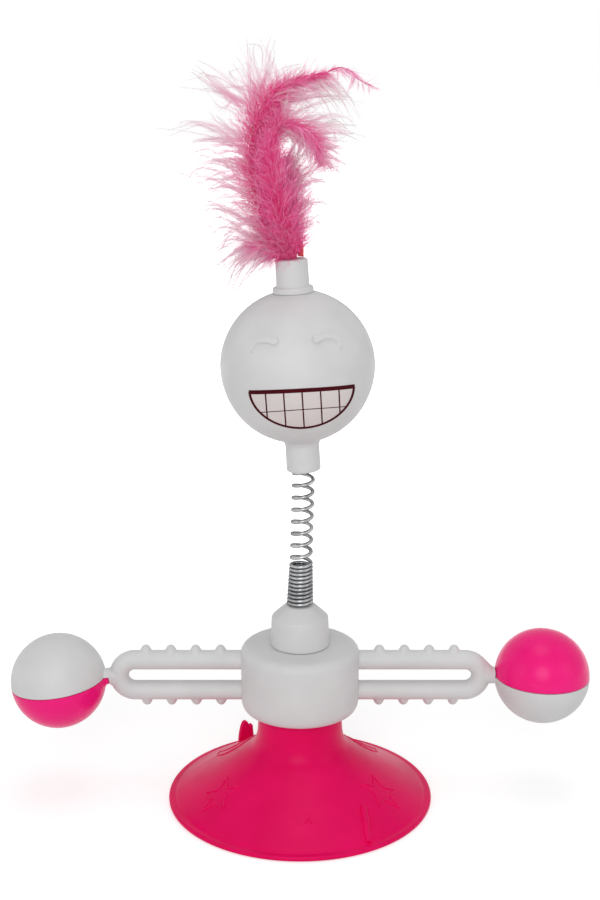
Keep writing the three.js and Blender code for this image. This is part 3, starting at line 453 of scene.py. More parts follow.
white_plastic = moulded(
    "white_plastic", (213, 213, 213), (219, 219, 219), 0.48, Specular_IOR_Level=0.28
)
pink_plastic = moulded(
    "pink_plastic", (247, 24, 124), (254, 32, 132), 0.24, Specular_IOR_Level=0.14
)
pink_rubber = moulded(
    "pink_rubber", (228, 3, 90), (238, 7, 98), 0.34, cloud_scale=60, grain_scale=1800, grain=0.08,
    Specular_IOR_Level=0.085,
)
natural_plastic = moulded("natural_plastic", (214, 211, 200), (224, 222, 212), 0.5)
print("moulded finishes ready")

# %% [markdown]
# ## Finish: metal
# The spring is bright drawn wire, the pin and the screws are zinc plated, and the bells in the
# balls are brass. Drawing, plating and pressing leave duller spots, so metal takes the same recipe
# with finer clouds and a finer grain, and is told apart by its Metallic value.

# %% Metal finishes
def metal(name, dark, light, roughness, **extra):
    return moulded(name, dark, light, roughness, cloud_scale=160, grain_scale=4200, grain=0.08,
                   Metallic=1, **extra)


# The spring's colour is darker than bare steel and its edge tint is dark: both are painted dark
# reflections along the wire, as of a dark room around it.
spring_steel = metal(
    "spring_steel", (132, 133, 134), (182, 183, 184), 0.24, Specular_Tint=(0.25, 0.25, 0.26, 1)
)
plated_steel = metal("plated_steel", (168, 170, 172), (196, 198, 200), 0.32)
brass = metal("brass", (196, 152, 66), (220, 178, 92), 0.3)
print("metal finishes ready")

# %% [markdown]
# ## Suction cup
# The cup and its stem are one moulding in soft rubber: a low dome with a bead along its edge, a
# shallow hollow underneath, and a stem that holds the pin's insert. It is a turned shape, with
# enough sides that no facet shows along the rim.

# %% Suction cup
CUP_RADIUS, LIP_WIDTH, LIP_HEIGHT = 50, 2.8, 1.6
HOLLOW_RADIUS, HOLLOW_DEPTH = 46.4, 13
STEM_RADIUS, STEM_TOP, STEM_TOP_RADIUS = 15.9, 37.6, 15.4
DOME_EDGE, DOME_FOOT, DOME_TOP = CUP_RADIUS - LIP_WIDTH, LIP_HEIGHT + 0.6, 22.4
DOME_SAG = 1  # half way up, the flank lies this much below a straight cone
FILLET_REACH = 7  # the dome stops this far out from the stem, to leave room for the fillet
SOCKET_RADIUS, SOCKET_FLOOR = 11.6, 16  # the hole for the pin's insert
GROOVE_RADIUS, GROOVE_FOOT, GROOVE_TOP = 13.3, 24, 26.6  # where the insert's barb sits
FLANGE_SEAT = 35.3  # the step for the insert's flange


def dome_height(radius):
    """Height of the dome's outside at some distance from the axis."""
    share = (DOME_EDGE - radius) / (DOME_EDGE - STEM_RADIUS)
    return DOME_FOOT + (DOME_TOP - DOME_FOOT) * share - 4 * DOME_SAG * share * (1 - share)


hollow = [(HOLLOW_RADIUS * s, HOLLOW_DEPTH * (1 - s * s)) for s in np.linspace(0, 1, 24)]
dome_reach = np.linspace(DOME_EDGE - 0.5, STEM_RADIUS + FILLET_REACH, 36)
dome = [(r, dome_height(r)) for r in dome_reach]
edge = rounded([
    hollow[-1], (CUP_RADIUS, 0, 0.6), (CUP_RADIUS, LIP_HEIGHT, 0.8), (47.5, 1.7, 0.5), dome[0],
])[1:-1]
stem = rounded([
    dome[-1], (STEM_RADIUS + 0.4, dome_height(STEM_RADIUS) - 0.3, 6),
    (STEM_TOP_RADIUS, STEM_TOP, 0.7), (GROOVE_RADIUS, STEM_TOP), (GROOVE_RADIUS, FLANGE_SEAT),
    (SOCKET_RADIUS, FLANGE_SEAT), (SOCKET_RADIUS, GROOVE_TOP), (GROOVE_RADIUS, GROOVE_TOP),
    (GROOVE_RADIUS, GROOVE_FOOT), (SOCKET_RADIUS, GROOVE_FOOT), (SOCKET_RADIUS, SOCKET_FLOOR),
    (0, SOCKET_FLOOR),
], 8)[1:]
cup = turned("suction_cup_rubber", hollow + edge + dome + stem, 180)
print("corners of the cup's profile:", len(hollow + edge + dome + stem))

# %% [markdown]
# ## Rib, pull tab and low relief
# A short rib at the front right of the cup lets air in when the rim is bent, and a small tab for
# the thumb stands on the rim at the back left. Outlined stars and moons and a small arrow stand a
# hair's breadth proud of the dome. They could be a bump texture, but then they would be missing
# from the shape, so each is a thin ridge laid along the surface.

# %% Rib
def on_dome(x, y, rise=0):
    """A point on the dome, or a little above it."""
    return np.array((x, y, dome_height(math.hypot(x, y)) + rise))


RIB_TOP, RIB_FOOT = np.array((22.9, -26.2)), np.array((24.4, -40.4))
RIB_RADIUS, RIB_TAPER, RIB_SINK = 1.4, 0.25, 0.1
ROUND_END = 0.1  # the share of the rib that its round upper end takes up
end_shares = (0, 0.02, 0.05, ROUND_END)
rib_share = np.concatenate([end_shares, np.linspace(0.17, 1, 14)])
rib_path = [on_dome(*(RIB_TOP + (RIB_FOOT - RIB_TOP) * s), -RIB_SINK) for s in rib_share]
rib_radii = RIB_RADIUS * np.sqrt(np.clip(1 - (1 - rib_share / ROUND_END) ** 2, 0.08, 1))
rib_radii[len(end_shares):] = RIB_RADIUS - RIB_TAPER * rib_share[len(end_shares):]
combine(cup, wire("rib", rib_path, rib_radii, 28), "UNION")
print("rib:", round(float(np.linalg.norm(RIB_FOOT - RIB_TOP)), 1), "mm long")

# %% Pull tab
TAB_ANGLE = math.radians(118.6)
TAB_REACH, TAB_FOOT = 48, 0.9
TAB_OUTLINE = [  # (sideways, height): a round top and a smaller bump beside it
    (-2.6, TAB_FOOT), (-2.3, 4), (-1.9, 6.4), (-1.3, 8.8), (-0.4, 10.4), (0.5, 10.7), (1.4, 10.1),
    (2, 8.9), (2.5, 8.3), (3.1, 8.7), (3.7, 8.2), (3.8, 6.8), (4.1, 4), (4.7, TAB_FOOT),
]
TAB_SLICES = (  # (depth, size): smaller towards both faces, which rounds the tab's edge
    (-1.1, 0.84), (-1, 0.93), (-0.7, 0.99), (0, 1), (0.7, 0.99), (1, 0.93), (1.1, 0.84),
)
tab_outline = smooth_curve(TAB_OUTLINE, 70)
tab_middle = np.array((0.6, 4.6))  # the slices shrink towards this point
tab_rings = []
for depth, size in TAB_SLICES:
    sideways, height = (tab_middle + (tab_outline - tab_middle) * size).T
    depths = np.full(len(sideways), TAB_REACH + depth)
    tab_rings.append(np.column_stack([sideways, depths, np.maximum(height, TAB_FOOT)]))
tab = skinned("pull_tab", tab_rings)
placed(tab, Matrix.Rotation(TAB_ANGLE - math.pi / 2, 4, "Z"))
combine(cup, tab, "UNION")
finished(cup, pink_rubber, "base", "pink_rubber", "suction_cup", crease=50)

# %% Ridge along the dome
RELIEF_RISE, RELIEF_WIDTH = 0.36, 0.85
RELIEF_ROOT = 0.5  # how deep a ridge reaches into the rubber
SLOPE_STEP = 0.1  # the slope is measured over this distance


def dome_normal(x, y):
    """The direction square to the dome's surface at a point."""
    radius = math.hypot(x, y)
    rise = dome_height(radius + SLOPE_STEP) - dome_height(radius)
    normal = np.array((-rise * x / radius, -rise * y / radius, SLOPE_STEP))
    return normal / np.linalg.norm(normal)


def ridge(name, plan, closed=True):
    """A low ridge on the dome along a plan of (x, y) points."""
    path = np.array([on_dome(x, y) for x, y in plan])
    if closed:
        along = np.roll(path, -1, 0) - np.roll(path, 1, 0)
    else:
        along = np.gradient(path, axis=0)
    turn = np.linspace(0, 2 * math.pi, 10, endpoint=False)[:, None]
    lift = np.where(np.sin(turn) > 0, RELIEF_RISE, RELIEF_ROOT) * np.sin(turn)
    rings = []
    for here, way in zip(path, along):
        normal = dome_normal(*here[:2])
        side = np.cross(normal, way)
        side /= np.linalg.norm(side)
        rings.append(here + RELIEF_WIDTH / 2 * np.cos(turn) * side + lift * normal)
    return skinned(name, rings, closed)


print("the ridges stand", RELIEF_RISE, "mm proud")

# %% Stars, moons and arrow on the cup
def on_plan(points, angle, reach, spin=0):
    """Moves a flat motif to its place around the cup. Both angles are in degrees."""
    angle, turn = math.radians(angle), math.radians(angle) + math.radians(spin)
    points = np.array(points, float)
    x = points[:, 0] * math.cos(turn) - points[:, 1] * math.sin(turn)
    y = points[:, 0] * math.sin(turn) + points[:, 1] * math.cos(turn)
    return np.column_stack([x + reach * math.cos(angle), y + reach * math.sin(angle)])


def star(points=5, outer=7.5, inner=3.1, between=6):
    """Straight lines from tip to notch to tip, each cut into a few steps to follow the dome."""
    tips = []
    for i in range(2 * points):
        angle, size = math.pi * i / points, (outer, inner)[i % 2]
        tips.append(np.array((size * math.cos(angle), size * math.sin(angle))))
    plan = []
    for here, after in zip(tips, tips[1:] + tips[:1]):
        plan += [here + (after - here) * s for s in np.linspace(0, 1, between, endpoint=False)]
    return plan


def moon(radius=7.7, thickness=5, inner_share=0.81, outer_half=126, inner_half=84):
    """Two arcs that meet in the moon's horns. Each runs so many degrees either way."""
    outer = arc((0, 0), radius, -outer_half, outer_half, 34)
    inner = arc((-thickness, 0), radius * inner_share, inner_half, -inner_half, 26)
    return outer + inner


STARS = ((211.8, 35), (-29.1, 34.6), (91.4, 34.6))  # angle around the cup, distance from the axis
MOONS = ((147, 29.7, 123), (38.7, 29.2, -128.7))  # the same, then the moon's own turn
ARROW = ((1.9, -37), (2.5, -36.2), (3, -35.4), (3.6, -36.2), (4.2, -37))
reliefs = [ridge(f"star_{i}", on_plan(star(), *place)) for i, place in enumerate(STARS, 1)]
reliefs += [ridge(f"moon_{i}", on_plan(moon(), *place)) for i, place in enumerate(MOONS, 1)]
reliefs.append(ridge("arrow_mark", ARROW, False))
for relief in reliefs:
    finished(relief, pink_rubber, "base", "pink_rubber", crease=60)

# %% [markdown]
# ## Hub
# The hub is a round white housing that turns on the stem. The photograph shows a soft edge above
# and below. The pockets for the arms are cut with the arms' own outline, a little larger, so a
# real seam stays around each root.

# %% Hub housing
HUB_RADIUS, HUB_FOOT, HUB_TOP = 22.2, 36.6, 61.56
HUB_INSIDE, HUB_FLOOR, HUB_CEILING = 20, 41.1, 59.36
HUB_OPENING, OPENING_TOP = 17.6, 38.8  # below, where the hub's cover closes it
COLLAR_RADIUS, COLLAR_TOP, SCREW_HOLE = 8, 66.36, 1.8  # the collar inside the spring's seat
ARM_HEIGHT = 49.08
RAIL_OFFSET, RAIL_RADIUS = 6.05, 3.63  # an arm's two bars, above and below its middle
hub = turned("hub_shell", rounded([
    (HUB_OPENING, HUB_FOOT), (HUB_RADIUS, HUB_FOOT, 6), (HUB_RADIUS, HUB_TOP, 4.3),
    (COLLAR_RADIUS, HUB_TOP, 0.6), (COLLAR_RADIUS, COLLAR_TOP, 0.6), (SCREW_HOLE, COLLAR_TOP),
    (SCREW_HOLE, HUB_CEILING), (HUB_INSIDE, HUB_CEILING, 1), (HUB_INSIDE, HUB_FLOOR, 1),
    (HUB_OPENING, OPENING_TOP),
], 9), 128)


def root_block(name, start, end, clearance):
    """A block along X with the outline of an arm's root: two half circles and flat sides."""
    size = RAIL_RADIUS + clearance
    outline = arc((0, RAIL_OFFSET), size, 0, 180, 24) + arc((0, -RAIL_OFFSET), size, 180, 360, 24)
    return skinned(name, [np.array([(x, y, z) for y, z in outline]) for x in (start, end)])


POCKET_START, POCKET_END, POCKET_SEAM = 17.9, 30, 0.16  # it ends in the air outside the hub
for turn in (0, math.pi):
    pocket = root_block("pocket", POCKET_START, POCKET_END, POCKET_SEAM)
    placed(pocket, Matrix.Translation((0, 0, ARM_HEIGHT)) @ Matrix.Rotation(turn, 4, "Z"))
    combine(hub, pocket, "DIFFERENCE")
finished(hub, white_plastic, "rotor", "white_plastic", "hub_housing")

# %% [markdown]
# ## Arms
# Each arm is one moulding: a round bar bent into a long loop, four round pegs along each edge,
# a short neck, and the white half of the end ball. The loop is a bar carried around a path. The
# pegs are raised out of the bar's own mesh, which leaves the small fillet that a mould leaves,
# where a ball stuck on would leave a hard line.

# %% Arm loop
LOOP_START, LOOP_TIP = 20.1, 71.4
PEG_RADIUS, PEG_STRETCH = 1.95, 1.18  # a peg is a half ball, pulled out a little
PEG_PLACES = [29.65 + 9.3 * k for k in range(4)]
PEG_EDGE = 0.5  # pegs are raised only where the bar is this far outside its own middle line
FILLET_RISE, FILLET_WIDTH = 0.35, 0.8


def arm_loop():
    """The looped bar with its pegs, lying along +X at height 0."""
    bend_middle = LOOP_TIP - RAIL_RADIUS - RAIL_OFFSET
    straight = np.arange(LOOP_START, bend_middle, 0.3)
    plan = [(x, RAIL_OFFSET) for x in straight]
    plan += arc((bend_middle, 0), RAIL_OFFSET, 90, -90, 48)
    plan += [(x, -RAIL_OFFSET) for x in straight[::-1]]
    rings = np.array(carried_rings([(x, 0, z) for x, z in plan], RAIL_RADIUS, 52))
    crest = RAIL_OFFSET + RAIL_RADIUS
    for x in PEG_PLACES:
        away = np.hypot(rings[..., 0] - x, rings[..., 1])
        peg = crest + PEG_STRETCH * np.sqrt(np.maximum(PEG_RADIUS ** 2 - away ** 2, 0))
        fillet = FILLET_RISE * np.clip(1 - (away - PEG_RADIUS) / FILLET_WIDTH, 0, 1) ** 2
        for side in (1, -1):
            height = side * rings[..., 2]
            raised = np.where(away < PEG_RADIUS, np.maximum(height, peg), height + fillet)
            outside = height > RAIL_OFFSET + PEG_EDGE
            rings[..., 2] = np.where(outside, side * raised, rings[..., 2])
    return skinned("loop", list(rings))


print("pegs at", [round(x, 2) for x in PEG_PLACES], "mm from the axis")

# %% [markdown]
# ## End balls
# A ball snaps together from two bowls. The white one belongs to the arm. The pink one is a cap
# with a lip that fits inside, and the two meet in a fine dark seam. The left arm is the same
# moulding as the right one, turned over, so its pink half is underneath.

# %% Ball halves
BALL_RADIUS, BALL_WALL, NECK_LENGTH, NECK_RADIUS = 17.7, 1.8, 1.6, 3.2
BALL_MIDDLE = NECK_LENGTH + BALL_RADIUS
HALF_SEAM = 0.13


def bowl(name):
    """The half ball below the seam, with a soft edge there."""
    start = math.degrees(math.asin(HALF_SEAM / BALL_RADIUS))
    inner = arc((0, 0), BALL_RADIUS - BALL_WALL, -start, -90, 20)
    outer = arc((0, 0), BALL_RADIUS, -90, -1.2, 40)
    rim = rounded([outer[-1], (BALL_RADIUS - 0.02, -HALF_SEAM, 0.3), inner[0]], 4)[1:-1]
    return turned(name, inner + outer + rim, 112)


print("ball:", 2 * BALL_RADIUS, "mm across")

# %% Neck between loop and ball
WEB_REACH, WEB_RISE, WEB_DROP, WEB_SPREAD = 3.8, 4.02, 1.2, 0.4
NECK_SEAM = 0.25  # the gap before the pink collar
NECK_ROOT = 1.6  # how far the neck runs on into the ball


def neck(collar_reach, white_side):
    """The neck along +X, with the web that widens it upwards where it meets the loop.

    white_side is its radius below. Above the seam it ends where the pink cap's collar begins.
    This is the right arm's, and the left one is turned over with its whole arm.
    """
    turn = np.linspace(0, 2 * math.pi, 48, endpoint=False)
    rings = []
    for x in np.linspace(-WEB_REACH, NECK_LENGTH + NECK_ROOT, 24):
        near_loop = np.clip((0.6 - x) / WEB_REACH, 0, 1)
        width = NECK_RADIUS + WEB_SPREAD * near_loop
        up, down = NECK_RADIUS + WEB_RISE * near_loop, white_side + WEB_DROP * near_loop ** 2
        height = np.where(np.sin(turn) > 0, up, down) * np.sin(turn)
        rings.append(np.column_stack([np.full(len(turn), x), width * np.cos(turn), height]))
    shape = skinned("neck", rings)
    room = half_space(0, NECK_LENGTH - collar_reach - NECK_SEAM, 1)
    combine(room, half_space(2, -HALF_SEAM, 1), "INTERSECT")
    return combine(shape, room, "DIFFERENCE")


def arm_frame(turn):
    """Where an arm lies: at its height, turned over for the left one."""
    return Matrix.Translation((0, 0, ARM_HEIGHT)) @ Matrix.Rotation(turn, 4, "Y")


def end_frame(turn, sag):
    """Where an arm's ball lies: at the loop's tip, sagging by a few degrees."""
    droop = Matrix.Rotation(math.radians(sag), 4, "Y")
    return arm_frame(turn) @ Matrix.Translation((LOOP_TIP, 0, 0)) @ droop


def along_x(piece):
    """Lays a turned piece down, so that its axis runs along X."""
    return placed(piece, Matrix.Rotation(math.pi / 2, 4, "Y"))


def rod(name, radius, start, end):
    """A plain round rod along X."""
    return along_x(turned(name, [(0, start), (radius, start), (radius, end), (0, end)], 32))


# %% Both arms with their caps
SIDES = (  # turn about Y, sag in degrees, reach of the pink collar, the neck's radius below
    ("right", 0, 0.5, 0, NECK_RADIUS), ("left", math.pi, -6.6, 1.3, 2.5),
)
ROOT_START, ROOT_END = 18.3, 21.85
CORE_RADIUS, CORE_START, CORE_END = 1.9, -3, 5.2  # the white core that runs on into the ball
CORE_HOLE, HOLE_END = 2.15, 6  # its hole in the pink cap
CAP_LIP = [(14.5, -2), (15.2, -2), (15.55, 0.1), (16.7, 0.6), (15.6, 2), (14.5, 2)]
COLLAR_HOLE, COLLAR_WALL = 2.2, 3.35  # the pink half collar around the left arm's neck
COLLAR_FLARE = [(3.6, 1.7, 1.2), (6.4, 3.05), (6.2, 3.6), (COLLAR_HOLE, 3.6)]
for side, turn, sag, collar_reach, white_side in SIDES:
    arm = arm_loop()
    combine(arm, root_block("root", ROOT_START, ROOT_END, 0), "UNION")
    placed(arm, arm_frame(turn))
    white_half = placed(bowl("white_half"), Matrix.Translation((BALL_MIDDLE, 0, 0)))
    core = rod("core", CORE_RADIUS, CORE_START, CORE_END)
    for shape in (neck(collar_reach, white_side), core, white_half):
        combine(arm, placed(shape, end_frame(turn, sag)), "UNION")
    arm.name = f"arm_{side}_moulding"
    finished(arm, white_plastic, "rotor", "white_plastic", f"arm_{side}", crease=32)

    cap = placed(bowl("cap"), Matrix.Rotation(math.pi, 4, "X"))
    combine(cap, turned("lip", CAP_LIP, 96), "UNION")
    placed(cap, Matrix.Translation((BALL_MIDDLE, 0, 0)))
    if collar_reach:
        foot = NECK_LENGTH - collar_reach
        corners = [(COLLAR_HOLE, foot), (COLLAR_WALL, foot, 0.4), *COLLAR_FLARE]
        ring = turned("collar", rounded(corners), 48)
        combine(along_x(ring), half_space(2, HALF_SEAM, -1), "DIFFERENCE")
        combine(cap, ring, "UNION")
    combine(cap, rod("room", CORE_HOLE, CORE_START, HOLE_END), "DIFFERENCE")
    placed(cap, end_frame(turn, sag))
    cap.name = f"ball_cap_{side}_shell"
    finished(cap, pink_plastic, "rotor", "pink_plastic", f"ball_cap_{side}", crease=32)

# %% [markdown]
# ## Spring seat
# A white cone stands on the hub and holds the spring's foot on a hidden spigot. It is a turned
# piece with a slight draft, so that it leaves its mould, and a thin shadow gap below it.

# %% Spring seat
SEAT_FOOT, SEAT_RADIUS, SEAT_SHOULDER, SEAT_TOP = 61.8, 10.95, 72.46, 77.16
SPIGOT_RADIUS, SPIGOT_TOP = 2.9, 87.66
COLLAR_ROOM, COLLAR_ROOM_TOP, SCREW_TOP = 8.3, 66.7, 72.2  # hollows for the hub's collar and screw
seat = turned("spring_seat_cone", rounded([
    (COLLAR_ROOM, SEAT_FOOT), (SEAT_RADIUS, SEAT_FOOT, 0.3), (10.5, SEAT_SHOULDER, 0.5),
    (7.7, 75.1, 2), (5.6, 77.0, 0.6), (5.1, SEAT_TOP, 0.2), (SPIGOT_RADIUS, SEAT_TOP),
    (SPIGOT_RADIUS, 86.4, 0.3), (1.7, SPIGOT_TOP, 0.4), (0, SPIGOT_TOP), (0, SCREW_TOP),
    (SCREW_HOLE, SCREW_TOP), (SCREW_HOLE, COLLAR_ROOM_TOP), (COLLAR_ROOM, COLLAR_ROOM_TOP),
], 6), 96)
finished(seat, white_plastic, "rotor", "white_plastic", "spring_seat", crease=30)

# %% [markdown]
# ## Spring
# The spring is wound from bright wire: ten close turns that taper a little, eight open turns, and
# a few more hidden in the head's neck. It bends when the head is batted. It is made in two lengths,
# which meet among the open turns, and neither rides on a body. At rest the open turns lean a
# little to the right and the head to the left, as in the photograph.

# %% Shape of the spring
WIRE = 1.34  # its thickness
COIL_RADIUS, COIL_TAPER, OPEN_STEP = 4.2, 0.55, 0.1  # to the wire's middle
COIL_FOOT, CLOSE_TURNS, CLOSE_PITCH = 78.46, 10.2, 1.45
FOOT_TURN = -0.55  # the wire starts at the back and lies on the seat for half a turn
OPEN_TURNS, OPEN_PITCH, HIDDEN_TURNS = 7.9, 4.56, 2.5
SPRING_LEAN, HEAD_LEAN = math.radians(1.5), math.radians(3.3)  # to the right, to the left
NECK_FOOT = COIL_FOOT + CLOSE_TURNS * CLOSE_PITCH + OPEN_TURNS * OPEN_PITCH
COIL_START = math.radians(-66)  # turns the whole spring so that its turns lie as photographed


def coil_point(turn):
    """The wire's middle after so many turns."""
    close = min(turn, CLOSE_TURNS)
    open_part = min(max(turn - CLOSE_TURNS, 0), OPEN_TURNS)
    hidden = turn - close - open_part
    free = close * CLOSE_PITCH + open_part * OPEN_PITCH
    radius = COIL_RADIUS - COIL_TAPER * close / CLOSE_TURNS - OPEN_STEP * min(open_part, 1)
    shift = math.tan(SPRING_LEAN) * free - math.tan(HEAD_LEAN) * hidden * CLOSE_PITCH
    angle = COIL_START + 2 * math.pi * turn
    height = max(COIL_FOOT + free + hidden * CLOSE_PITCH, SEAT_TOP + WIRE / 2)
    return np.array((shift + radius * math.cos(angle), radius * math.sin(angle), height))


print("the head's neck starts", round(NECK_FOOT, 1), "mm above the table")

# %% Both lengths of the spring
def coil(name, first, last, steps=36):
    """The wire between two turns, with so many steps to a turn."""
    turns = np.linspace(first, last, int((last - first) * steps) + 1)
    return wire(name, [coil_point(t) for t in turns], WIRE / 2, 14)


MIDDLE_HEIGHT = 110  # where the two lengths meet
meeting = CLOSE_TURNS + (MIDDLE_HEIGHT - COIL_FOOT - CLOSE_TURNS * CLOSE_PITCH) / OPEN_PITCH
lower_coil = coil("spring_lower", FOOT_TURN, meeting)
upper_coil = coil("spring_upper", meeting, CLOSE_TURNS + OPEN_TURNS + HIDDEN_TURNS)
for piece in (lower_coil, upper_coil):
    finished(piece, spring_steel, None, "spring_steel", "coil_spring", crease=60)
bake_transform(lower_coil)
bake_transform(upper_coil)

# %% [markdown]
# ## Head
# The head is a hollow ball with a neck, moulded as a front and a rear shell that meet in a
# vertical parting line, and the rear one stands a hair proud. It is made upright, with its heights
# counted from the neck's foot, and takes its place and its lean at the end. The front shell's mesh
# is finer where the closed eyes are embossed, because raised shapes need points to raise, and
# coarser elsewhere. A lip inside the rear shell laps over the parting line, or light would shine
# through the gap.

# %% Profile of the head
BALL_CENTRE, HEAD_RADIUS, HEAD_WALL = 37.5, 27.3, 2
HEAD_PLACE = (math.tan(SPRING_LEAN) * (NECK_FOOT - COIL_FOOT), 0, NECK_FOOT)
head_frame = Matrix.Translation(HEAD_PLACE) @ Matrix.Rotation(-HEAD_LEAN, 4, "Y")
NECK_BORE, NECK_RIM, RIM_RADIUS, NECK_RADIUS_ABOVE = 4.5, -0.5, 6.2, 6.1
PLUG_GROOVE = [(NECK_BORE, 7.93), (5, 7.93), (5, 4.93), (NECK_BORE, 4.93)]  # grips the plug
FLARE_RADIUS = 9.6  # where the fillet between neck and ball runs out


def underside(radius, reach):
    """Height of a ball's underside at some distance from its axis."""
    return BALL_CENTRE - math.sqrt(radius ** 2 - reach ** 2)


def head_profile(radius, rows):
    """Neck, ball and inside wall of the head. rows are the steps on the ball, in degrees."""
    neck_line = rounded([
        (NECK_BORE, NECK_RIM), (RIM_RADIUS, NECK_RIM, 0.9),
        (NECK_RADIUS_ABOVE, underside(radius, 5.8) - 0.3, 2.2),
        (FLARE_RADIUS, underside(radius, FLARE_RADIUS)),
    ], 10)
    turns = [math.radians(row) for row in rows]
    outside = [(radius * math.cos(t), BALL_CENTRE + radius * math.sin(t)) for t in turns]
    inside = arc((0, BALL_CENTRE), HEAD_RADIUS - HEAD_WALL, 80, -79.7, 32)
    return neck_line[:-1] + outside + inside + PLUG_GROOVE


print("head:", 2 * HEAD_RADIUS, "mm across")

# %% Both shells
REAR_STEP = 0.2  # how much the rear shell stands proud of the front one
FINE_STEP = 0.33  # degrees between the points where the eyes will be
front_rows = np.concatenate([
    np.linspace(-69.3, 15.4, 42), np.arange(16, 36, FINE_STEP), np.linspace(36.5, 80.6, 20),
])
front_columns = np.radians(np.concatenate([
    np.arange(-132, -48, FINE_STEP), np.linspace(-48, 228, 90, endpoint=False),
]))
front = turned("head_front", head_profile(HEAD_RADIUS, front_rows), angles=front_columns)
rear_rows = np.linspace(-69.4, 80.7, 72)
rear = turned("head_rear", head_profile(HEAD_RADIUS + REAR_STEP, rear_rows), 128)
print("points on the shells:", len(front.data.vertices), "and", len(rear.data.vertices))

# %% [markdown]
# ## Closed eyes
# Two closed, laughing eyes stand out of the shell: bowed pads, round at the inner end and drawn to
# a point at the outer one. Each is a line on the ball with a width that changes along it, and
# every point of the shell under it moves outwards. A pad of its own, stuck on, would show a seam.

# %% Emboss the eyes
EYE_RISE, EYE_EDGE = 1, 0.4  # height, and the width of the slope around a pad
TIP_HALF_WIDTH, EYE_SWELL = 0.3, 1.05
EYES = (  # turn to the side and height above the middle, in degrees, from the tip inwards
    [(-35.9, 21.9), (-35.3, 25.3), (-32.9, 28.9), (-28.0, 30.2), (-22.0, 30.4), (-16.7, 29.3)],
    [(36.6, 21.0), (35.9, 25.7), (32.9, 28.6), (27.4, 30.5), (22.1, 30.1), (17.2, 28.8)],
)


def on_ball(side_angle, height_angle):
    """A point on the front of the head, as a way from the ball's middle."""
    a, h = math.radians(side_angle), math.radians(height_angle)
    way = np.array((math.sin(a) * math.cos(h), -math.cos(a) * math.cos(h), math.sin(h)))
    return HEAD_RADIUS * way


shell = front.data
points = np.array([v.co for v in shell.vertices])
from_centre = points - (0, 0, BALL_CENTRE)
distance = np.linalg.norm(from_centre, axis=1)
outer_skin = abs(distance - HEAD_RADIUS) < 0.01
for eye in EYES:
    line = np.array([on_ball(*place) for place in smooth_curve(eye, 60)])
    half_width = TIP_HALF_WIDTH + EYE_SWELL * np.linspace(0, 1, len(line)) ** 0.5
    away = np.linalg.norm(from_centre[:, None] - line[None], axis=2) - half_width
    rise = EYE_RISE * np.clip(0.5 - away.min(axis=1) / EYE_EDGE, 0, 1)
    rise = np.where(outer_skin, rise, 0)
    points += from_centre / distance[:, None] * rise[:, None]
    print("an eye raises", int((rise > 0).sum()), "points")
shell.vertices.foreach_set("co", points.ravel())

# %% Part the shells and add the lip
HALF_PARTING = 0.12
LAP_SECTION = (  # (distance from the ball's middle, depth) across the lip
    (24.3, -1.8), (25.15, -1.8), (25.15, 0.2), (25.7, 0.6), (25.7, 1.6), (24.3, 1.6),
)
LAP_ARCS = ((-77, 68), (112, 257))  # right and left, free of the neck and the holder
combine(front, half_space(1, -HALF_PARTING, 1), "DIFFERENCE")
combine(rear, half_space(1, HALF_PARTING, -1), "DIFFERENCE")
for first, last in LAP_ARCS:
    lap_rings = []
    for angle in np.radians(np.linspace(first, last, 60)):
        lap_rings.append(np.array([
            (reach * math.cos(angle), y, BALL_CENTRE + reach * math.sin(angle))
            for reach, y in LAP_SECTION
        ]))
    combine(rear, skinned("lap", lap_rings), "UNION")
for piece, node in ((front, "head_front_shell"), (rear, "head_rear_shell")):
    placed(piece, head_frame)
    finished(piece, white_plastic, "head", "white_plastic", node, crease=30)

# %% [markdown]
# ## Printed grin
# A wide, half-round grin is pad printed below the eyes: two rows of pale, warm teeth with dark red
# lines. Ink has a thickness, though only a few hundredths of a millimetre, so the print is a set
# of thin bands that lie on the ball. It could be painted with a texture, but bands stay sharp at
# any size.

# %% Inks and the lines of the grin
teeth_ink = moulded("teeth_ink", (217, 209, 207), (223, 215, 213), 0.45, Specular_IOR_Level=0.3)
line_ink = moulded("line_ink", (64, 8, 18), (76, 12, 24), 0.5, Specular_IOR_Level=0.05)
MOUTH_MIDDLE, MOUTH_HALF, MOUTH_DEPTH = 1.2, 17.85, 14.45
MOUTH_TOP_LINE, LIP_TILT, LIP_BOW = -3, 0.012, 1.05  # heights count from the ball's middle
CHIN_FULLNESS = 0.55  # 0.5 would be a half ellipse
ROW_HEIGHT, ROW_BOW, ROW_HALF = -10, 1.1, 14.4  # the line between the two rows of teeth


def lip_line(x):
    """Height of the grin's upper edge at a place from left to right."""
    aside = x - MOUTH_MIDDLE
    return MOUTH_TOP_LINE - LIP_TILT * aside - LIP_BOW * (aside / MOUTH_HALF) ** 2


def chin_line(x):
    """Height of the grin's lower edge."""
    share = min(abs(x - MOUTH_MIDDLE) / MOUTH_HALF, 1)
    return lip_line(x) - MOUTH_DEPTH * (1 - share ** 2) ** CHIN_FULLNESS


def tooth_line(x):
    """Height of the line between the upper and the lower teeth."""
    return ROW_HEIGHT - ROW_BOW * ((x - MOUTH_MIDDLE) / ROW_HALF) ** 2


print("grin:", 2 * MOUTH_HALF, "mm wide")

# %% Bands of ink
INK_SINK = 0.05  # the bands reach this deep into the shell


def ink_point(x, z, rise):
    """A point of the print, a little above or below the ball's surface."""
    radius = HEAD_RADIUS + rise
    return (x, -math.sqrt(radius ** 2 - x * x - z * z), z + BALL_CENTRE)


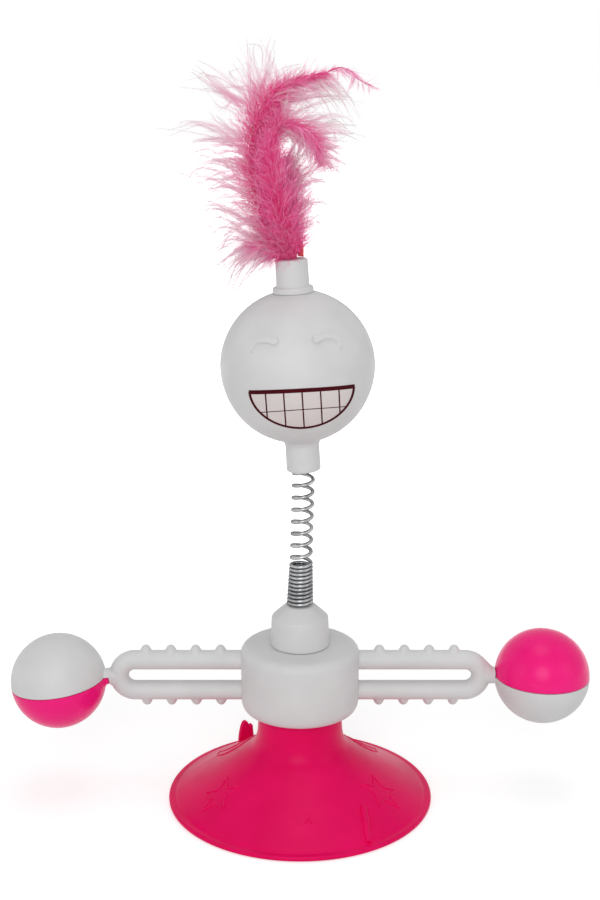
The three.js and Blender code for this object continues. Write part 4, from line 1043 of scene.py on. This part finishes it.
def ink_band(name, plan, half_width, top):
    """A flat band of ink along a plan of (x, z) points, as seen from the front."""
    plan = np.array(plan, float)
    along = np.gradient(plan, axis=0)
    along /= np.linalg.norm(along, axis=1)[:, None]
    side = np.column_stack([-along[:, 1], along[:, 0]])
    rings = []
    for here, way in zip(plan, side):
        left, right = here + way * half_width, here - way * half_width
        rings.append(np.array([ink_point(*left, top), ink_point(*right, top),
                               ink_point(*right, -INK_SINK), ink_point(*left, -INK_SINK)]))
    return skinned(name, rings)


# %% Teeth and lines
INK = {"teeth": 0.035, "row": 0.07, "gap": 0.075, "chin": 0.085, "lip": 0.09}  # how high it lies
LINE_HALF = {"row": 0.15, "gap": 0.24, "chin": 0.44, "lip": 0.72}  # half the width of each line
LIP_ENDS = (-16.9, 19.3)
GAPS = (-11.15, -4.95, 1.3, 7.55, 13.85)
across = MOUTH_MIDDLE + MOUTH_HALF * np.cos(np.linspace(math.pi, 2 * math.pi, 60))
teeth_rings = []
for x in across[1:-1]:
    column = np.linspace(chin_line(x), lip_line(x), 22)
    front_side = [ink_point(x, z, INK["teeth"]) for z in column]
    back_side = [ink_point(x, z, -INK_SINK) for z in column[::-1]]
    teeth_rings.append(np.array(front_side + back_side))
teeth = skinned("printed_teeth", teeth_rings)

row_reach = [x for x in np.linspace(-20, 20, 120) if tooth_line(x) > chin_line(x)]
plans = [("lip", [(x, lip_line(x)) for x in np.linspace(*LIP_ENDS, 60)])]
plans.append(("chin", [(x, chin_line(x)) for x in across]))
plans += [("gap", [(x, z) for z in np.linspace(chin_line(x), lip_line(x), 24)]) for x in GAPS]
plans.append(("row", [(x, tooth_line(x)) for x in row_reach]))
lines = [ink_band(kind, plan, LINE_HALF[kind], INK[kind]) for kind, plan in plans]
print_lines = lines[0]
for other in lines[1:]:
    combine(print_lines, other, "UNION")
print_lines.name = "printed_lines"
for piece, finish in ((teeth, teeth_ink), (print_lines, line_ink)):
    placed(piece, head_frame)
    finished(piece, finish, "head", "white_plastic")

# %% [markdown]
# ## Feather holder and binding
# A white tube with a flat collar sits on top of the ball and grips the quills. A few turns of red
# thread tie them, and the knot shows to the right of the plume's foot. Thread is round and catches
# light along each turn, so it is wound as a wire and not painted on a cylinder.

# %% Feather holder
HOLDER_TOP, THREAD_SEAT, TUBE_FLOOR = 75.8, 73.4, 66.5
COLLAR_EDGE, COLLAR_UPPER = 7.25, 66.15  # the flat collar that lies on the ball
FOOT_RADIUS, FOOT_TOP, FOOT_BOTTOM = 5.75, 61.8, 59.4  # the flange inside the ball
QUILL_HOLE = 1.4
holder = turned("holder_tube", rounded([
    (0, FOOT_BOTTOM), (FOOT_RADIUS, FOOT_BOTTOM), (FOOT_RADIUS, FOOT_TOP), (4.15, FOOT_TOP),
    (4.15, 65), (5.9, 64.1), (COLLAR_EDGE, 63.9, 0.4), (7.15, COLLAR_UPPER, 0.8),
    (5.85, COLLAR_UPPER, 0.5), (5.7, HOLDER_TOP, 0.9), (2.6, HOLDER_TOP, 0.5), (2.4, THREAD_SEAT),
    (QUILL_HOLE, THREAD_SEAT), (QUILL_HOLE, TUBE_FLOOR), (0, TUBE_FLOOR),
], 6), 96)
placed(holder, head_frame)
finished(holder, white_plastic, "head", "white_plastic", "feather_holder", crease=30)

# %% Red binding and quill
red_thread = moulded(
    "red_thread", (206, 44, 28), (232, 74, 48), 0.6, cloud_scale=900, grain_scale=5000, grain=0.3,
    Sheen_Weight=0.3,
)
horn = moulded("horn", (196, 120, 130), (214, 150, 156), 0.45)
THREAD = 0.33  # radius
TIGHTNESS = 0.98  # each turn presses a little into the last one


def wrapped(name, middle, radius, foot, top):
    """Thread wound closely, turn on turn. middle is its place from left to right."""
    turns = (top - foot) / (2 * THREAD * TIGHTNESS)
    angles = np.linspace(0, 2 * math.pi * turns, int(turns * 26))
    heights = np.linspace(foot + THREAD, top - THREAD, len(angles))
    path = [(middle + radius * math.cos(a), radius * math.sin(a), z)
            for a, z in zip(angles, heights)]
    return wire(name, path, THREAD, 8)


binding = wrapped("thread_binding", 0, 1.75, 76.1, 81.5)
knot = wrapped("thread_knot", 3.4, 0.75, 76.1, 81.6)
QUILL = [(0, 66.8), (1.1, 66.8), (1.1, 80), (0.8, 84), (0.3, 86), (0, 86.2)]
quill = turned("quill_stem", QUILL, 24)
for piece in (binding, knot, quill):
    placed(piece, head_frame)
finished(binding, red_thread, "head", "red_thread", "feather_binding", crease=60)
finished(knot, red_thread, "head", "red_thread", crease=60)
finished(quill, horn, "head", "quill", "feather_quill", crease=60)

# %% [markdown]
# ## Marabou plume
# Marabou is down: thin soft shafts with hundreds of barbs, and each barb carries a row of barbules
# on both sides that cling together in a pointed, see-through leaf. Hair systems draw this well
# but aren't meshes, so the strands are built directly: every barb is a fine tapered ribbon along
# a curve, and its barbules are shorter ribbons that leave it at a narrow angle.
# The colour runs along each strand: deep pink at its root, pale pink towards its end, and a trace
# of undyed grey at the very tip. Each strand has its own tone as well. Both are kept as the two
# directions of the strands' map, so one small recipe colours all of them.

# %% Feather finish
STRAND_MAP = "OFBake"
TONE_SPREAD = 0.4  # how far a strand's tone may shift it along the ramp


def feather_finish(name, stops):
    """The colour runs along the strand, which is the map's first direction."""
    finish, nodes, links, shader = new_finish(name)
    place = nodes.new("ShaderNodeUVMap")
    place.uv_map = STRAND_MAP
    split = nodes.new("ShaderNodeSeparateXYZ")
    links.new(place.outputs["UV"], split.inputs[0])
    cloud = noise_at(nodes, links, 14, detail=2, places=place.outputs["UV"])
    shifted = worked_out(nodes, links, "MULTIPLY_ADD", cloud, TONE_SPREAD, split.outputs["X"])
    middled = worked_out(nodes, links, "SUBTRACT", shifted, TONE_SPREAD / 2)
    links.new(ramp_from(nodes, links, middled, stops), shader.inputs["Base Color"])
    dull = mapped(nodes, links, cloud, *NOISE_RANGE, 0.6, 0.85)
    links.new(dull, shader.inputs["Roughness"])
    shader.inputs["Sheen Weight"].default_value = 0.3
    shader.inputs["Specular IOR Level"].default_value = 0.15
    return finish


down_pink = feather_finish("down_pink", (
    (0.0, colour(234, 18, 106)), (0.3, colour(250, 76, 156)), (0.6, colour(255, 146, 200)),
    (0.85, colour(255, 202, 226)), (1.0, colour(253, 222, 233)),
))
wisp_pink = feather_finish("wisp_pink", (
    (0.0, colour(252, 100, 172)), (0.25, colour(253, 156, 202)), (0.55, colour(252, 202, 222)),
    (0.85, colour(240, 212, 220)), (1.0, colour(172, 156, 150)),
))
shaft_pink = moulded("shaft_pink", (214, 52, 118), (228, 84, 142), 0.5, cloud_scale=300)
print("feather finishes ready")

# %% [markdown]
# ## How a strand is drawn
# Each strand is a flat ribbon, 0.05 to 0.15 millimetres wide at its foot, which narrows to its
# end. All the strands of a piece go into one mesh, because thousands of objects would be slow.
# Random numbers come from one seeded source, so that the plume is the same each time.

# %% Strands
SEED = 11
chance = np.random.default_rng(SEED)
FACING = np.array((0, -1, 0.2))  # ribbons rather turn their flat side to the front and back
UNEVEN = 0.35  # how far chance turns a ribbon or a barbule aside
NARROWING = 0.7  # the share of its width that a ribbon loses on its way


def unit(ways):
    """The same directions with a length of 1. The tiny number keeps a zero from breaking it."""
    return ways / (np.linalg.norm(ways, axis=-1, keepdims=True) + 1e-9)


class Strands:
    """Collects ribbons for one mesh, with the place along the strand and its tone as their map."""

    def __init__(self):
        self.points, self.faces, self.places = [], [], []
        self.count = 0

    def add(self, paths, width, start, end, tone):
        """Ribbons along paths[strand, step], shaded from start to end, all in their own tone."""
        many, steps = paths.shape[:2]
        facing = chance.normal(size=(many, 1, 3)) * UNEVEN + FACING
        side = unit(np.cross(np.gradient(paths, axis=1), facing))
        share = np.linspace(0, 1, steps)
        half = (width / 2 * (1 - NARROWING * share))[:, None]
        self.points.append(np.stack([paths - side * half, paths + side * half], 2).reshape(-1, 3))
        start, end, tone = (np.broadcast_to(v, many)[:, None] for v in (start, end, tone))
        shade = np.clip(start + (end - start) * share, 0.01, 0.99)[..., None]
        tones = 0.02 + 0.95 * tone[..., None] + np.array((0, 0.01))
        self.places.append(np.stack(np.broadcast_arrays(shade, tones), -1).reshape(-1, 2))
        first = self.count + 2 * steps * np.arange(many)[:, None] + 2 * np.arange(steps - 1)
        self.faces.append((first[..., None] + np.array((0, 1, 3, 2))).reshape(-1, 4))
        self.count += 2 * many * steps

    def mesh(self, name, finish):
        """All ribbons so far as one piece on the head. It is soft, so no edge is sharp."""
        piece = solid(name, np.concatenate(self.points), np.concatenate(self.faces).tolist())
        layer = piece.data.uv_layers.new(name=STRAND_MAP)
        corners = np.empty(len(piece.data.loops), np.int32)
        piece.data.loops.foreach_get("vertex_index", corners)
        layer.data.foreach_set("uv", np.concatenate(self.places)[corners].ravel())
        piece.data.transform(Matrix.Scale(MM, 4))
        piece.data.shade_smooth()
        piece.data.materials.append(finish)
        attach(piece, "head")
        print(f"{name}: {len(piece.data.polygons)} faces")
        return piece


# %% Barbules along a barb
LAST_BARBULE = 0.97  # as a share of the barb


def leaf(strands, path, barbules, tone, shade, reach, width=0.05):
    """Barbules in a row on both sides of a path, closing to a point at its end.

    They lie in one plane, give or take. shade is the barb's own at its two ends, and theirs goes
    on from there. reach is a barbule's length.
    """
    along = unit(np.gradient(path, axis=0))
    order = np.arange(barbules)
    share = (order + chance.uniform(0, 1, barbules)) / barbules * LAST_BARBULE
    at = share * (len(path) - 1)
    i = at.astype(int)
    here = path[i] + (path[i + 1] - path[i]) * (at - i)[:, None]
    way = along[i]
    flat = unit(np.cross(along[0], chance.normal(size=3) + 2 * FACING))
    out = flat * np.where(order % 2, 1, -1)[:, None] + chance.normal(size=(barbules, 3)) * UNEVEN
    out -= way * (out * way).sum(axis=1, keepdims=True)
    swell = 0.45 + 0.55 * np.sin(math.pi * np.minimum(1, share + 0.25))
    size = reach * swell * (1.12 - share)  # longest near the foot, short at the end
    size = (size * chance.uniform(0.6, 1.15, barbules))[:, None, None]
    s = np.linspace(0, 1, 3)[None, :, None]
    sweep = way[:, None] * s * 0.95 + out[:, None] * (0.42 * s - 0.2 * s * s)  # curls forwards
    paths = here[:, None] + size * sweep
    tint = shade[0] + (shade[1] - shade[0]) * np.minimum(1, share + 0.12)
    strands.add(paths, width, tint, tint + 0.15, tone)


# %% [markdown]
# ## Where the barbs grow
# The plume is several feathers tied together. The main one bows to the left, rises and falls over
# to the right, where it ends in a bare whip. A second curls down at the right, a third fills the
# lower right, a short one hangs out at the lower left, and a tuft hides the foot. Barbs grow all
# round each shaft, and get shorter towards its end.

# %% Shafts
SHAFTS = {
    "main": [(-5, 0, 205.9), (-10, -0.5, 214.4), (-14.3, 0, 228.3), (-15.4, 0.5, 239.3),
             (-14.4, 0, 250.1), (-11, -0.5, 258.2), (-5.8, 0, 263), (0.6, 0.5, 266), (9, 0, 267.6)],
    "back": [(-4.4, 1, 205.9), (-9.2, 3.5, 216), (-11.5, 5, 228), (-12.4, 5.5, 240),
             (-10.5, 5, 250), (-6.5, 4, 257)],
    "front": [(-4, -1, 206), (-6.2, -4, 216), (-7.6, -5.5, 227), (-9.6, -6, 238), (-9.4, -5, 248)],
    "curl": [(-9.5, -2, 246), (-6.6, -2.6, 250.6), (-1.9, -3, 250.6), (3.1, -2.6, 247.4),
             (6.2, -2, 242.4), (8, -1.2, 237.6)],
    "inner": [(-3.4, 0, 206), (-2.8, 0.6, 215), (-2.5, 1, 224), (-3, 1, 232), (-4.6, 0.6, 239)],
    "low": [(-5.2, -1, 206.4), (-8.8, -2, 208.8), (-12.6, -2.4, 210.2), (-17, -2, 210.6)],
    "foot": [(-3.6, -1.6, 204.4), (-4.6, -2.6, 208), (-6.4, -3, 212.5), (-7.6, -3.4, 217)],
    "whip": [(8.4, 0, 267.4), (13, 0, 269.2), (17.1, 0, 268.1), (19.7, 0, 265.4), (24.9, 0, 263)],
}
COVER = {  # barbs, length of a barb, spread, paleness at its root, strands of down and their reach
    "main": (340, 13, 0.85, 0, 3800, 6.8), "back": (220, 12.5, 0.85, 0.05, 2800, 7),
    "front": (200, 11.5, 0.8, 0, 2400, 6.4), "curl": (140, 10.5, 0.95, 0.1, 1100, 4.4),
    "inner": (180, 12, 0.95, 0.16, 1700, 5.6), "low": (110, 11, 0.95, 0.15, 600, 4),
    "foot": (100, 7, 0.5, 0, 1200, 3.4), "whip": (28, 5.5, 1, 0.5, 20, 0.6),
}
STEPS = 60  # of each shaft's curve
shaft_curves = {name: smooth_curve(corners, STEPS) for name, corners in SHAFTS.items()}
for name, curve in shaft_curves.items():
    print(f"shaft {name}: {np.linalg.norm(np.diff(curve, axis=0), axis=1).sum():.0f} mm long")

# %% Directions around a shaft
FALL = 1.8  # 1 would leave a rising strand level, and more lets it hang


def around(way, many):
    """Random directions square to way."""
    out = chance.normal(size=(many, 3))
    return unit(out - way * (out * way).sum(axis=-1, keepdims=True))


def fallen(out, way):
    """Where a shaft lies level, what stands up from it falls over and hangs."""
    level = np.clip(1.5 - 1.8 * abs(way[..., 2]), 0, 1)  # 1 for a level shaft, 0 for a steep one
    out[..., 2] -= FALL * level * np.maximum(out[..., 2], 0)
    return out


# %% Barbs on the shafts
CROWDING = 1.25  # with more than 1, strands stand closer near the shaft's foot
BARB_WIDTH, BARB_END = 0.1, 0.75  # and the shade at its end
BARBULES, BARBULE_LENGTH = 36, 3.9


def grow_barbs(strands, name):
    """Barbs around one shaft, each with its barbules."""
    curve = shaft_curves[name]
    barbs, length, spread, paleness = COVER[name][:4]
    along = unit(np.gradient(curve, axis=0))
    for k in range(barbs):
        share = ((k + chance.uniform()) / barbs) ** CROWDING
        i = min(int(share * STEPS), STEPS - 1)
        way = along[i]
        out = fallen(around(way, 1)[0] * (1, 0.8, 1), way)
        reach = length * (0.55 + 0.6 * math.sin(math.pi * (0.12 + 0.8 * share)))
        reach *= chance.uniform(0.65, 1.25) * (1 - 0.55 * share ** 3)
        start = way * 0.85 + out * spread * chance.uniform(0.3, 1.1)
        bend = out * 0.25 - way * 0.15 + chance.normal(size=3) * 0.12 - (0, 0, 0.12)
        s = np.linspace(0, 1, 9)[:, None]
        path = curve[i] + reach * (start * s + bend * s * s)
        tone = chance.uniform()
        pale = paleness + 0.25 * share ** 2
        strands.add(path[None], BARB_WIDTH, pale, BARB_END, tone)
        reach = BARBULE_LENGTH * (1 - 0.5 * share ** 2)
        leaf(strands, path, BARBULES, tone, (pale, BARB_END), reach)


BARB_GROUPS = {
    "plume_barbs": ("main", "front"), "plume_back_barbs": ("back", "inner"),
    "plume_side_barbs": ("curl", "low", "foot", "whip"),
}
for piece_name, names in BARB_GROUPS.items():
    strands = Strands()
    for name in names:
        grow_barbs(strands, name)
    strands.mesh(piece_name, down_pink)
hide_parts("feather_plume")

# %% [markdown]
# ## Down between the barbs
# Under the barbs lies loose down, which makes the middle of the plume deep and opaque. Each strand
# is short and curly and starts near a shaft. The further out it starts, the paler it is coloured:
# the deep colour in the middle is painted shade.

# %% Loose down
DOWN_WIDTH, DOWN_LENGTH = 0.15, (4, 8.5)
fluff = Strands()
for name, curve in shaft_curves.items():
    paleness, many, reach = COVER[name][3:]
    along = unit(np.gradient(curve, axis=0))
    i = (STEPS * chance.uniform(size=many) ** CROWDING).astype(int)
    out = fallen(around(along[i], many) * (1, 0.85, 1), along[i])
    away = np.minimum(np.abs(chance.normal(size=many)) * 0.5, 1.3)  # most start near the shaft
    away *= reach * np.sin(math.pi * (0.16 + 0.76 * i / STEPS))
    root = curve[i] + out * away[:, None]
    way = unit(along[i] * 0.9 + out * 0.45 + chance.normal(size=(many, 3)) * 0.4)
    curl = chance.normal(size=(many, 3)) * 0.3 - way * 0.1
    length = chance.uniform(*DOWN_LENGTH, many) * (1 - 0.55 * (i / STEPS) ** 3)
    s = np.linspace(0, 1, 5)[None, :, None]
    bent = way[:, None] * s + curl[:, None] * s * s
    paths = root[:, None] + length[:, None, None] * bent
    # paler the further out it starts: painted shade, deep in the middle of the plume and pale at
    # its outside
    shade = paleness + 0.2 * (i / STEPS) ** 2 + 0.5 * away / reach
    fluff.add(paths, DOWN_WIDTH, shade, shade + 0.22, chance.uniform(size=many))
fluff.mesh("plume_down", down_pink)

# %% [markdown]
# ## Wisps
# What makes the outline is a few dozen long barbs that leave the mass and close to a point. Their
# places were read off the photograph, and each is listed as root, middle and tip. Around each one
# a few thinner companions follow nearly the same way, and paler ones fill the spaces between.

# %% Wisps around the outline
WISPS = (  # (x, z) of the root, the middle and the tip
    ((-16.2, 256), (-16.9, 270.5), (-17.9, 278.7)), ((-14, 258), (-11, 270), (-8.2, 278.7)),
    ((-19.7, 256), (-28.3, 264.1), (-35.6, 270.2)), ((-18, 257), (-31, 263.8), (-37, 267.8)),
    ((-16, 257), (-27.2, 261.7), (-41.5, 262.9)), ((-15, 257), (-19.5, 266), (-22.7, 270.7)),
    ((-18, 246), (-26.9, 250.7), (-30.9, 255)), ((-18, 243), (-32.9, 251), (-44.6, 248.8)),
    ((-18, 243), (-32.5, 245.2), (-41.4, 240.9)), ((-16, 232), (-31.4, 240), (-44.8, 238.8)),
    ((-15, 224), (-33.2, 232.9), (-46.3, 231.2)), ((-17, 230), (-33.3, 236), (-41.7, 227.7)),
    ((-13, 214), (-27.8, 222.8), (-37, 225.5)), ((-14, 216), (-28.3, 222), (-37.1, 219.1)),
    ((-8.2, 207.6), (-26.2, 216.5), (-35.7, 203.7)),
    ((-9.9, 207.6), (-24.5, 211.9), (-28.1, 199.7)),
    ((-8.8, 206.9), (-20.1, 208.6), (-23.5, 200.8)),
    ((-8.5, 206.5), (-18.4, 205.4), (-21.6, 197.7)),
    ((-8.2, 206), (-15, 203.6), (-18.5, 197.7)), ((-7.9, 206), (-11.6, 203), (-14.5, 198.4)),
    ((-3.6, 257.5), (8.6, 259.8), (21.5, 257.7)),
    ((-5.2, 259.5), (8.5, 262.5), (17.4, 260.9)), ((-1, 251), (10.3, 252.2), (17.5, 248)),
    ((3, 247.5), (13.2, 247.9), (20, 245.3)), ((4.5, 244.5), (12.4, 243.4), (20.3, 241.5)),
    ((-1, 233), (7, 235), (13.1, 235.2)), ((6.4, 241), (8.7, 236.4), (11.8, 231.5)),
    ((-2, 228), (5.9, 230.9), (12.1, 228.8)), ((-2, 222), (5.9, 225.2), (10.7, 222.2)),
    ((-2, 214), (2.6, 215), (5.1, 214.4)), ((-7.4, 263), (-2.5, 267.3), (2.5, 269.8)),
)
WISP_WIDTH, WISP_BARBULE_WIDTH, BARBULES_PER_MM = 0.12, 0.065, 3
WISP_STEPS, COMPANIONS = 14, 5
wisps = Strands()


def wisp(path, paleness, reach=5):
    """A long pointed barb with its barbules."""
    length = np.linalg.norm(np.diff(path, axis=0), axis=1).sum()
    tone = chance.uniform()
    wisps.add(path[None], WISP_WIDTH, paleness, 0.95, tone)
    barbules = int(length * BARBULES_PER_MM)
    leaf(wisps, path, barbules, tone, (paleness, 0.9), reach, WISP_BARBULE_WIDTH)


for root, middle, tip in WISPS:
    depth = chance.normal() * 4  # to the front or back, which the photograph doesn't show
    for k in range(1 + COMPANIONS):
        loose = 0.3 + 0.6 * k
        jitter = chance.normal(size=(3, 3)) * np.array((1, 1, 0.9 if k else 0))[:, None] * loose
        corners = np.array([(root[0], depth * 0.2, root[1]), (middle[0], depth * 0.7, middle[1]),
                            (tip[0], depth, tip[1])]) + jitter
        path = smooth_curve(corners, WISP_STEPS)
        if k:  # a companion may end before its leader
            path = path[:chance.integers(10, WISP_STEPS + 1)]
        wisp(path, 0.15 + 0.07 * k)
print(len(WISPS), "wisps, each with", COMPANIONS, "companions")

# %% Wisps between them
FILL = (  # shaft, first and last step, wisps, least and most length, side, forward, droop
    ("main", 2, 26, 64, 20, 33, 1, 0.45, 0.3), ("main", 26, 44, 24, 12, 21, 1, 0.8, 0.2),
    ("main", 36, 60, 46, 11, 20, -1, 1.3, 0.25), ("low", 6, 60, 46, 11, 23, 1, 1.5, 0.5),
    ("low", 10, 60, 18, 9, 20, -1, 1.6, 0.2), ("curl", 10, 60, 46, 9, 16, 1, 0.8, 0.2),
    ("curl", 4, 50, 46, 7, 13, -1, 0.7, 0.3), ("inner", 14, 60, 60, 8, 15, -1, 1.5, 0),
)  # the side is 1 to the left of the shaft's way, else -1
for name, first, last, count, least, most, side, forward, droop in FILL:
    curve = shaft_curves[name]
    along = unit(np.gradient(curve, axis=0))
    for i in chance.integers(first, last, count):
        way = along[i]
        out = side * np.array((-way[2], 0, way[0])) + chance.normal(size=3) * (0.25, 0.6, 0.25)
        s = np.linspace(0, 1, 12)[:, None]
        start = unit(way * forward + out * chance.uniform(0.6, 1.2))
        bend = out * 0.1 - way * 0.15 - (0, 0, droop * chance.uniform(0, 2))
        wisp(curve[i] + chance.uniform(least, most) * (start * s + bend * s * s), 0.35, 4)
wisps.mesh("plume_wisps", wisp_pink)

# %% [markdown]
# ## Shafts of the feathers
# A shaft is horn, dyed with the rest, and thins towards its end. The down hides most of each one,
# and only the whip's shows for all its length. Each is a wire with a radius that shrinks.

# %% Shaft of each feather
SHAFT_FOOT, WHIP_FOOT, SHAFT_TIP = 0.4, 0.25, 0.1  # radii
for name, curve in shaft_curves.items():
    foot = WHIP_FOOT if name == "whip" else SHAFT_FOOT
    shaft = wire(f"shaft_{name}", curve, np.linspace(foot, SHAFT_TIP, len(curve)), 8)
    finished(shaft, shaft_pink, "head", "feather")

# %% [markdown]
# ## Pieces that stay as packed
# The pin, the washers, the bush, the insert, the screws, the bells and the hub's cover have the
# right shape already. They hardly show, and only need their own finish.

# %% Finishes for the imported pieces
COVER_SCREWS = [f"cover_screw_{number}" for number in range(1, 5)]
PACKED_FINISHES = (
    (natural_plastic,
     ["stem_insert", "lower_washer", "bearing_bush", "upper_washer", "spring_plug"]),
    (plated_steel, ["axle_pin", "seat_screw", *COVER_SCREWS]),
    (white_plastic, ["hub_cover"]),
    (brass, ["bell_left", "bell_right"]),
)
for finish, names in PACKED_FINISHES:
    for name in names:
        for material_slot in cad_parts[name].material_slots:
            material_slot.material = finish
    print(finish.name, "on", *names)
